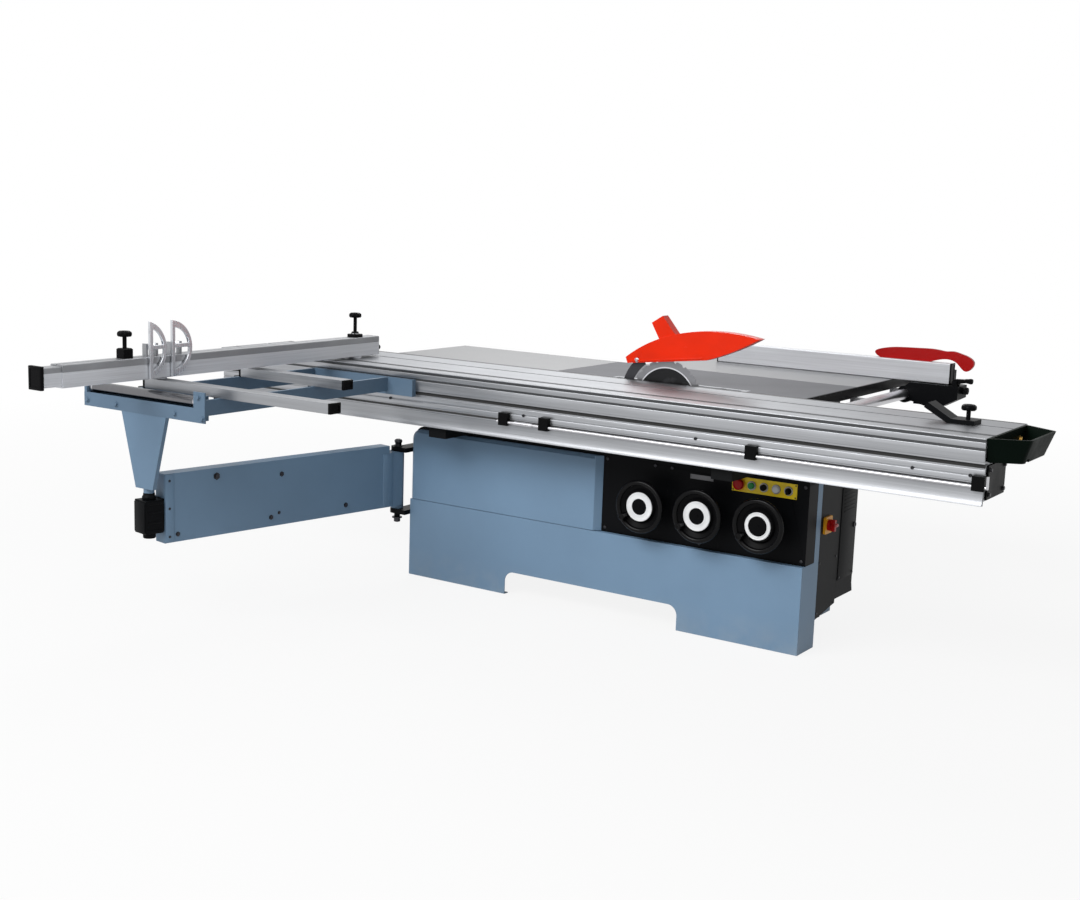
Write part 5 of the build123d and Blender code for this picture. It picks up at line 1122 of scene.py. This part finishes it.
def knob_heads():
    """Lobed heads over the three clamping knobs."""
    for body in ("stop_knob", "fence_clamp_knob", "shoe_knob"):
        spot = centre(body, z=corners(body)[1].z)
        head = turned(f"{body}_head", "Z", spot, [
            (12, -19), (21, -18), (24, -14.6), (24.6, -9), (23.4, -3.6), (18, 0.4), (9, 1), (8, -0.6),
        ], 48)

        def in_hollow(middle, normal):
            away = (middle - spot).xy
            return away.length >= 19.5 and sector(away, 7.5) % 8 in (0, 1, 2)

        pick(head, "VERT", in_hollow)
        bpy.ops.transform.resize(value=(0.9, 0.9, 1), center_override=metres(spot))
        object_mode()
        dress(head, "plastic", body, 50)


def rip_caps():
    """Caps on the rip fence's ends."""
    low, high = corners("rip_fence_profile")
    caps = []
    for x, way in ((high.x, 1), (low.x - 1, -1)):
        cap = bar("rip_cap", (x - 3, low.y - 1, low.z - 0.8), (x + 3, high.y + 1, high.z + 0.8), 1.6, 2)
        stepped(cap, (way, 0, 0), 5, -1.6)
        caps.append(cap)
    dress(joined(caps, "rip_caps"), "plastic", "rip_fence_profile")


def lever_grip():
    """Ball grip at the lock lever's end."""
    high = corners("fence_lock_lever")[1]
    ball = turned("lever_grip", "X", centre("fence_lock_lever", x=high.x, z=high.z - 6.9), [
        (6, -29), (8.4, -26), (8.8, -17), (10.4, -9), (11, -4), (9.4, 1), (5, 3),
    ], 24)
    dress(ball, "plastic", "fence_lock_lever")


def fine_knob():
    """Grooved rim of the fine adjuster."""
    spot = centre("fine_adjust_knob", x=corners("fine_adjust_knob")[0].x)
    rim = turned("fine_knob_rim", "X", spot, [
        (9, 26), (13.6, 27), (14, 29), (14, 44), (13, 47), (8, 49), (7, 47.4),
    ], 36)

    def in_groove(middle, normal):
        away = (middle - spot).yz
        return away.length > 13.2 and sector(away, 10, 5) % 2 == 0

    pick(rim, "VERT", in_groove)
    bpy.ops.transform.resize(value=(1, 0.93, 0.93), center_override=metres(spot))
    object_mode()
    dress(rim, "plastic", "fine_adjust_knob", 20)


class PANELSAW_OT_fences(bpy.types.Operator):
    """Caps, clamp base, lobed knobs and edge fittings of both fences"""

    bl_idname = "panelsaw.fences"
    bl_label = "Fences"

    def execute(self, context):
        crosscut_caps()
        clamp_base()
        knob_heads()
        rip_caps()
        lever_grip()
        fine_knob()
        return {"FINISHED"}


BEAD_SLOPE = -6.76
BEAD_START = (-10.0, 0.0, 910.0)
BEAD_X = (4.0, 306.0)
BEAD_Z = (914.0, 921.0)


class PANELSAW_OT_guard(bpy.types.Operator):
    """Pin heads and stiffening beads of the blade guard"""

    bl_idname = "panelsaw.guard"
    bl_label = "Blade guard"

    def execute(self, context):
        low, high = corners("blade_guard")
        faces = ((low.y, -1), (high.y, 1))
        pin = joint_place("guard_swing")
        heads = [hexagon_bolt("guard_pin_head", "Y", (pin.x, face, pin.z), way, 6.4) for face, way in faces]
        dress(joined(heads, "guard_pin_heads"), "steel_y", "blade_guard")
        beads = []
        for face, way in faces:
            inner, outer = sorted((face - way * 1.0, face + way * 2.2))
            bead = bar("guard_bead", (BEAD_X[0], inner, BEAD_Z[0]), (BEAD_X[1], outer, BEAD_Z[1]), 1.5, 3)
            beads.append(settle(bead, turn_about("Y", BEAD_SLOPE, BEAD_START)))
        dress(joined(beads, "guard_beads"), "guard", "blade_guard")
        return {"FINISHED"}


# Cabinet and tables

SPIGOT_LENGTH = 45.0
SPIGOT_HEIGHT = 300.0
BACK_DOORS = ((-640, -40), (300, 650))
DOOR_FOOT = 110.0
DOOR_HEAD = 545.0
DOOR_HINGES = (170, 485)
DOOR_LOCKS = ((-70, 330), (622, 330))
LOUVRE_COLUMNS = (-480, -210, 475)
LOUVRE_ROWS = 6
LOUVRE_PITCH = 26.0
LOUVRE_TOP = 500.0
WALL_SCREW_COLUMNS = (-820, -690, 10, 270, 675)
WALL_SCREW_ROWS = (60, 330, 540)
SPIGOT_SCREWS = (-59, 59)
LEFT_PLATE_Y = (-150.0, 300.0)
LEFT_PLATE_Z = (110.0, 505.0)
LEFT_SCREW_INSET = 10.0
SIDE_SCREWS = ((-166, 575), (-22, 575), (-166, 300), (-22, 300), (-166, 120), (-22, 130))


def louvre_fin(face):
    """Pressed louvre on the back wall, its mouth facing down."""
    x, z = LOUVRE_COLUMNS[0], LOUVRE_TOP
    fin = bar("louvre_pattern", (x - 70, face - 1, z - 9), (x + 70, face + 2, z + 9))
    pick(fin, "VERT", lambda middle, normal: middle.y > face + 1 and middle.z < z)
    bpy.ops.transform.translate(value=(0, 9 * MM, 0))
    pick(fin, "EDGE", lambda middle, run: middle.y > face + 0.5)
    bpy.ops.mesh.bevel(offset=1.6 * MM, segments=2, affect="EDGES")
    object_mode()
    return fin


def back_doors(face):
    """Two door leaves with raised middles, and their louvres."""
    doors = []
    for left, right in BACK_DOORS:
        leaf = bar("back_door", (left, face - 1, DOOR_FOOT), (right, face + 3, DOOR_HEAD), 1.4, 2)
        stepped(leaf, (0, 1, 0), 14, 1.6, 0.99)
        doors.append(leaf)
    pattern = louvre_fin(face + 4.4)
    for column in LOUVRE_COLUMNS:
        for row in range(LOUVRE_ROWS):
            move = (column - LOUVRE_COLUMNS[0], 0, -row * LOUVRE_PITCH)
            doors.append(copy_of(pattern, "louvre", move))
    bpy.data.objects.remove(pattern)
    dress(joined(doors, "back_doors"), "blue")


def door_fittings(face):
    """Hinges on the doors' left edges and locks on the right."""
    fittings = []
    for left, right in BACK_DOORS:
        for z in DOOR_HINGES:
            fittings.append(turned("door_hinge", "Z", (left - 6, face + 5, z), [
                (4.4, -30), (6, -29), (6, -10.4), (5.4, -10), (5.4, -9.4), (6, -9),
                (6, 9), (5.4, 9.4), (5.4, 10), (6, 10.4), (6, 29), (4.4, 30),
            ], 20))
    for x, z in DOOR_LOCKS:
        fittings.append(turned("door_lock", "Y", (x, face, z), [
            (16, 3), (16, 7), (14.4, 8.4), (8, 8.4), (7.6, 6.8), (3, 6.8),
        ], 28))
    dress(joined(fittings, "door_fittings"), "dark_steel")


def dust_spigot(face, end):
    """Rolled bead and flange of the dust spigot, and the screws of the wall round it."""
    x = centre("main_blade").x
    bead = ring("spigot_bead", "Y", (x, end, SPIGOT_HEIGHT), [
        (59.4, -4), (60.6, -4), (62.8, -2), (63.2, 0), (62.2, 2), (60.4, 2.6), (57.4, 2.6), (56.6, 1.4),
    ])
    flange = ring("spigot_flange", "Y", (x, face, SPIGOT_HEIGHT), [
        (59.6, -0.6), (78, -0.4), (78, 1.4), (76.6, 2.6), (62, 2.6), (59.7, 4.6),
    ])
    dress(joined([bead, flange], "spigot_bead"), "blue")
    spots = [(x + aside, SPIGOT_HEIGHT + up) for up in SPIGOT_SCREWS for aside in SPIGOT_SCREWS]
    spots += [(column, z) for column in WALL_SCREW_COLUMNS for z in WALL_SCREW_ROWS]
    screws = [button_screw("wall_screw", "Y", (column, face, z), 1) for column, z in spots]
    dress(joined(screws, "back_screws"), "dark_steel")


def left_side(face):
    """Cover plate behind the arm's hinge."""
    near, far = LEFT_PLATE_Y
    foot, head = LEFT_PLATE_Z
    inset = LEFT_SCREW_INSET
    plate = bar("left_cover_plate", (face - 3, near, foot), (face + 1, far, head), 1.4, 2)
    stepped(plate, (-1, 0, 0), 12, 1.4)
    dress(plate, "blue")
    screws = [button_screw("left_screw", "X", (face - 3, y, z), -1)
              for y in (near + inset, (near + far) / 2, far - inset) for z in (foot + inset, head - inset)]
    dress(joined(screws, "left_screws"), "dark_steel")


def right_side(face):
    """Electrical box door with slots, lock and screws, and the isolator's grip."""
    low = corners("electrical_box")[0]
    door = bar("box_door", (face - 1, low.y + 10, low.z + 65),
               (face + 2.4, low.y + 148, low.z + 435), 1.2, 2)
    slot = bar("box_slot", (face + 2, low.y + 32, low.z + 380),
               (face + 3.6, low.y + 126, low.z + 385), 0.7, 2)
    repeat(slot, [(0, 0, -14 * row) for row in range(1, 6)])
    dress(joined([door, slot], "box_door"), "black")
    lock = turned("box_lock", "X", (face, low.y + 134, low.z + 250), [
        (10, 2), (10, 5), (9, 6.2), (5, 6.2), (4.6, 5), (2, 5),
    ], 24)
    screws = [button_screw("box_screw", "X", (face + 2.4, low.y + y, low.z + z), 1, 4.4)
              for y in (19, 139) for z in (75, 425)]
    screws += [button_screw("panel_side_screw", "X", (face, y, z), 1, 4.4) for y, z in SIDE_SCREWS]
    dress(joined([lock, *screws], "right_screws"), "dark_steel")
    knob = centre("isolator_knob", x=face)
    grip = bar("isolator_grip", knob + Vector((29, -18, -5.6)), knob + Vector((37, 18, 5.6)), 2.6, 3)
    dress(grip, "red", "isolator_knob")


class PANELSAW_OT_cabinet(bpy.types.Operator):
    """Doors, louvres, hinges, locks and screws on the cabinet's back and sides"""

    bl_idname = "panelsaw.cabinet"
    bl_label = "Cabinet"

    def execute(self, context):
        spigot_end = corners("rear_shell")[1].y
        back = spigot_end - SPIGOT_LENGTH
        left, right = [corner.x for corner in corners("front_skirt")]
        back_doors(back)
        door_fittings(back)
        dust_spigot(back, spigot_end)
        left_side(left)
        right_side(right)
        return {"FINISHED"}


TICK_PITCH = 50.0
TICKS = 25
INSERT_SCREW_INSET = (13.0, 26.0)
RAIL_RADIUS = 20.0
HANDLE_SCREW_Y = -170.0


def table_edge_shade_band():
    """Black band of painted shade along the right edge of both tables, with a row of fine ticks."""
    low, high = corners("main_table")
    edge, end = high.x, corners("side_table")[1].y
    band = bar("table_edge_shade_band", (edge - 0.6, low.y + 1, low.z + 1),
               (edge + 1.2, end - 1, high.z - 1.6), 0.8, 2)
    dress(band, "plastic")
    tick = bar("edge_ticks", (edge + 1, low.y + 13, high.z - 9), (edge + 1.5, low.y + 14, high.z - 3))
    stepped(tick, (1, 0, 0), 0.3, 0.2)
    repeat(tick, [(0, step * TICK_PITCH, 0) for step in range(1, TICKS)])
    dress(tick, "silver_plate")


def insert_screws():
    """Countersunk screws at the table insert's ends."""
    low, high = corners("table_insert")
    inset, y = INSERT_SCREW_INSET[0], low.y + INSERT_SCREW_INSET[1]
    screws = [turned("insert_screw", "Z", (x, y, high.z), [
        (4.6, -3), (4.6, -0.6), (4.2, -0.2), (2.2, -0.2), (2, -1.6),
    ], 18) for x in (low.x + inset, high.x - inset)]
    dress(joined(screws, "insert_screws"), "dark_steel")


def rail_caps():
    """Caps on both ends of the round rip fence rail."""
    low, high = corners("fence_rail")
    caps = [turned("rail_cap", "Y", centre("fence_rail", x=high.x - RAIL_RADIUS, y=y), [
        (17, -6), (20.6, -6), (20.6, -0.4), (19, 1.6), (12, 2.6),
    ], 32, way) for y, way in ((low.y, -1), (high.y, 1))]
    dress(joined(caps, "rail_caps"), "plastic")


class PANELSAW_OT_tables(bpy.types.Operator):
    """Band of painted shade on the table edge, its ticks, insert screws, rail caps and handle screw"""

    bl_idname = "panelsaw.tables"
    bl_label = "Tables"

    def execute(self, context):
        table_edge_shade_band()
        insert_screws()
        rail_caps()
        wall = corners("push_handle")[0].x + 9
        screw = hexagon_bolt("handle_screw", "X", centre("push_handle", x=wall, y=HANDLE_SCREW_Y), 1, 9)
        dress(screw, "brass", "sliding_table")
        return {"FINISHED"}


# Edges, stage and steps

ROUNDED = {
    1.2: "front_skirt left_front_cover rear_shell control_panel electrical_box swing_arm outrigger_frame"
         " support_post main_table outfeed_table side_table rip_fence_profile crosscut_fence stop_block"
         " rod_clips edging_shoe rip_fence_carrier blade_guard hinge_bracket support_bars base_frame"
         " inner_arm beam_end_plates push_handle",
    2.4: "flip_stop_left flip_stop_right push_stick",
}
WELD_GAP = 0.02


class PANELSAW_OT_edges(bpy.types.Operator):
    """Small roundings on the edges of the visible CAD nodes"""

    bl_idname = "panelsaw.edges"
    bl_label = "Rounded edges"

    def execute(self, context):
        for width, names in ROUNDED.items():
            for name in names.split():
                weld = nodes[name].modifiers.new("merged", "WELD")
                weld.merge_threshold = WELD_GAP * MM
                round_off = nodes[name].modifiers.new("rounded", "BEVEL")
                round_off.width = width * MM
                round_off.segments = 3
                round_off.limit_method = "ANGLE"
                round_off.angle_limit = radians(40)
                round_off.use_clamp_overlap = True
        return {"FINISHED"}


PHOTO_SIZE = (1080, 900)
PHOTO_CENTRE = (546.9, 445.8)
CAMERA_PLACE = (2.845, -4.932, 1.537)
CAMERA_YAW = radians(33.4)
CAMERA_PITCH = radians(-9.6)
CAMERA_ROLL = radians(-2.0)
WHITE = (1, 1, 1, 1)
WORLD_LIGHT = 0.30
FLOOR_GREY = (0.62, 0.62, 0.62)
FLOOR_GLOW = 0.88


def floor_finish():
    """Pale floor that stays white to the eye but keeps a soft shadow."""
    pale = Finish("pale_floor", base_color=FLOOR_GREY, roughness=0.9)
    glow = pale.node("ShaderNodeEmission", None, {"Color": WHITE, "Strength": 1.0})
    away = pale.node("ShaderNodeVectorMath", {"operation": "LENGTH"}, {0: pale.place}, output="Value")
    share = pale.seen_rays() * (FLOOR_GLOW + away.between(2.0, 6.0) * (1 - FLOOR_GLOW))
    matt = Signal(pale, pale.shader.outputs[0])
    mixed = pale.node("ShaderNodeMixShader", None, {0: share, 1: matt, 2: glow})
    pale.feed(pale.tree.nodes["Material Output"].inputs["Surface"], mixed)
    return pale.material


def white_world(scene):
    """White to the eye, gentle as a lamp."""
    scene.world = bpy.data.worlds.new("studio")
    scene.world.use_nodes = True
    sky = Graph(scene.world.node_tree)
    background = sky.tree.nodes["Background"]
    sky.feed(background.inputs["Color"], WHITE)
    sky.feed(background.inputs["Strength"], WORLD_LIGHT + sky.seen_rays() * (1 - WORLD_LIGHT))


def soft_lamp(scene, name, place, target, size, power):
    """Round soft lamp that looks at a target."""
    data = bpy.data.lights.new(name, "AREA")
    data.shape = "DISK"
    data.size = size
    data.energy = power
    lamp = bpy.data.objects.new(name, data)
    scene.collection.objects.link(lamp)
    lamp.location = place
    lamp.rotation_euler = (Vector(target) - Vector(place)).to_track_quat("-Z", "Y").to_euler()


def photo_camera(scene, lens):
    """Turn the camera by the yaw, pitch and roll found for the photograph."""
    level = cos(CAMERA_PITCH)
    right = Vector((cos(CAMERA_YAW), sin(CAMERA_YAW), 0))
    forward = Vector((-sin(CAMERA_YAW) * level, cos(CAMERA_YAW) * level, sin(CAMERA_PITCH)))
    down = forward.cross(right)
    across = right * cos(CAMERA_ROLL) + down * sin(CAMERA_ROLL)
    lower = down * cos(CAMERA_ROLL) - right * sin(CAMERA_ROLL)
    width, height = PHOTO_SIZE
    data = bpy.data.cameras.new("photo_camera")
    data.sensor_fit = "HORIZONTAL"
    data.sensor_width = 36.0
    data.lens = lens
    data.shift_x = (width / 2 - PHOTO_CENTRE[0]) / width
    data.shift_y = (PHOTO_CENTRE[1] - height / 2) / width
    data.clip_end = 200.0
    camera = bpy.data.objects.new("photo_camera", data)
    scene.collection.objects.link(camera)
    turn = Matrix((across, -lower, -forward)).transposed()
    camera.matrix_world = Matrix.Translation(CAMERA_PLACE) @ turn.to_4x4()
    scene.camera = camera


class PANELSAW_OT_stage(bpy.types.Operator):
    """Pale floor, soft lamps and the camera at the photograph's viewing angle"""

    bl_idname = "panelsaw.stage"
    bl_label = "Stage"

    def execute(self, context):
        scene = context.scene
        sizes = scene.saw_sizes
        scene.view_settings.view_transform = "Standard"
        floor = fresh("plane", "floor", size=sizes.floor_size)
        floor.data.materials.append(floor_finish())
        white_world(scene)
        soft_lamp(scene, "key", (-2.5, -6.5, 6.0), (0, 0, 0.5), 5.0, 470)
        soft_lamp(scene, "side", (0.8, -5.8, 4.4), (0.5, 0, 0.5), 4.0, 120)
        soft_lamp(scene, "back", (-4.0, 6.0, 6.0), (0, 0, 0.6), 4.5, 260)
        photo_camera(scene, sizes.lens)
        return {"FINISHED"}


class PANELSAW_PT_sidebar(bpy.types.Panel):
    """Lists the steps that dress the saw"""

    bl_idname = "PANELSAW_PT_sidebar"
    bl_label = "Panel saw"
    bl_space_type = "VIEW_3D"
    bl_region_type = "UI"
    bl_category = "Panel saw"

    def draw(self, context):
        for group in (context.scene.saw_colors, context.scene.saw_sizes):
            for name in group.__annotations__:
                self.layout.prop(group, name)
        for step in steps:
            self.layout.operator(step.bl_idname)


steps = (
    PANELSAW_OT_finishes,
    PANELSAW_OT_handwheels,
    PANELSAW_OT_controls,
    PANELSAW_OT_beam,
    PANELSAW_OT_outrigger,
    PANELSAW_OT_fences,
    PANELSAW_OT_guard,
    PANELSAW_OT_cabinet,
    PANELSAW_OT_tables,
    PANELSAW_OT_edges,
    PANELSAW_OT_stage,
)
classes = (SawColors, SawSizes, *steps, PANELSAW_PT_sidebar)


def register():
    for cls in classes:
        bpy.utils.register_class(cls)
    bpy.types.Scene.saw_colors = bpy.props.PointerProperty(type=SawColors)
    bpy.types.Scene.saw_sizes = bpy.props.PointerProperty(type=SawSizes)


def unregister():
    del bpy.types.Scene.saw_sizes
    del bpy.types.Scene.saw_colors
    for cls in reversed(classes):
        bpy.utils.unregister_class(cls)


def main():
    register()
    for step in steps:
        group, name = step.bl_idname.split(".")
        getattr(getattr(bpy.ops, group), name)()


if __name__ == "__main__":
    main()
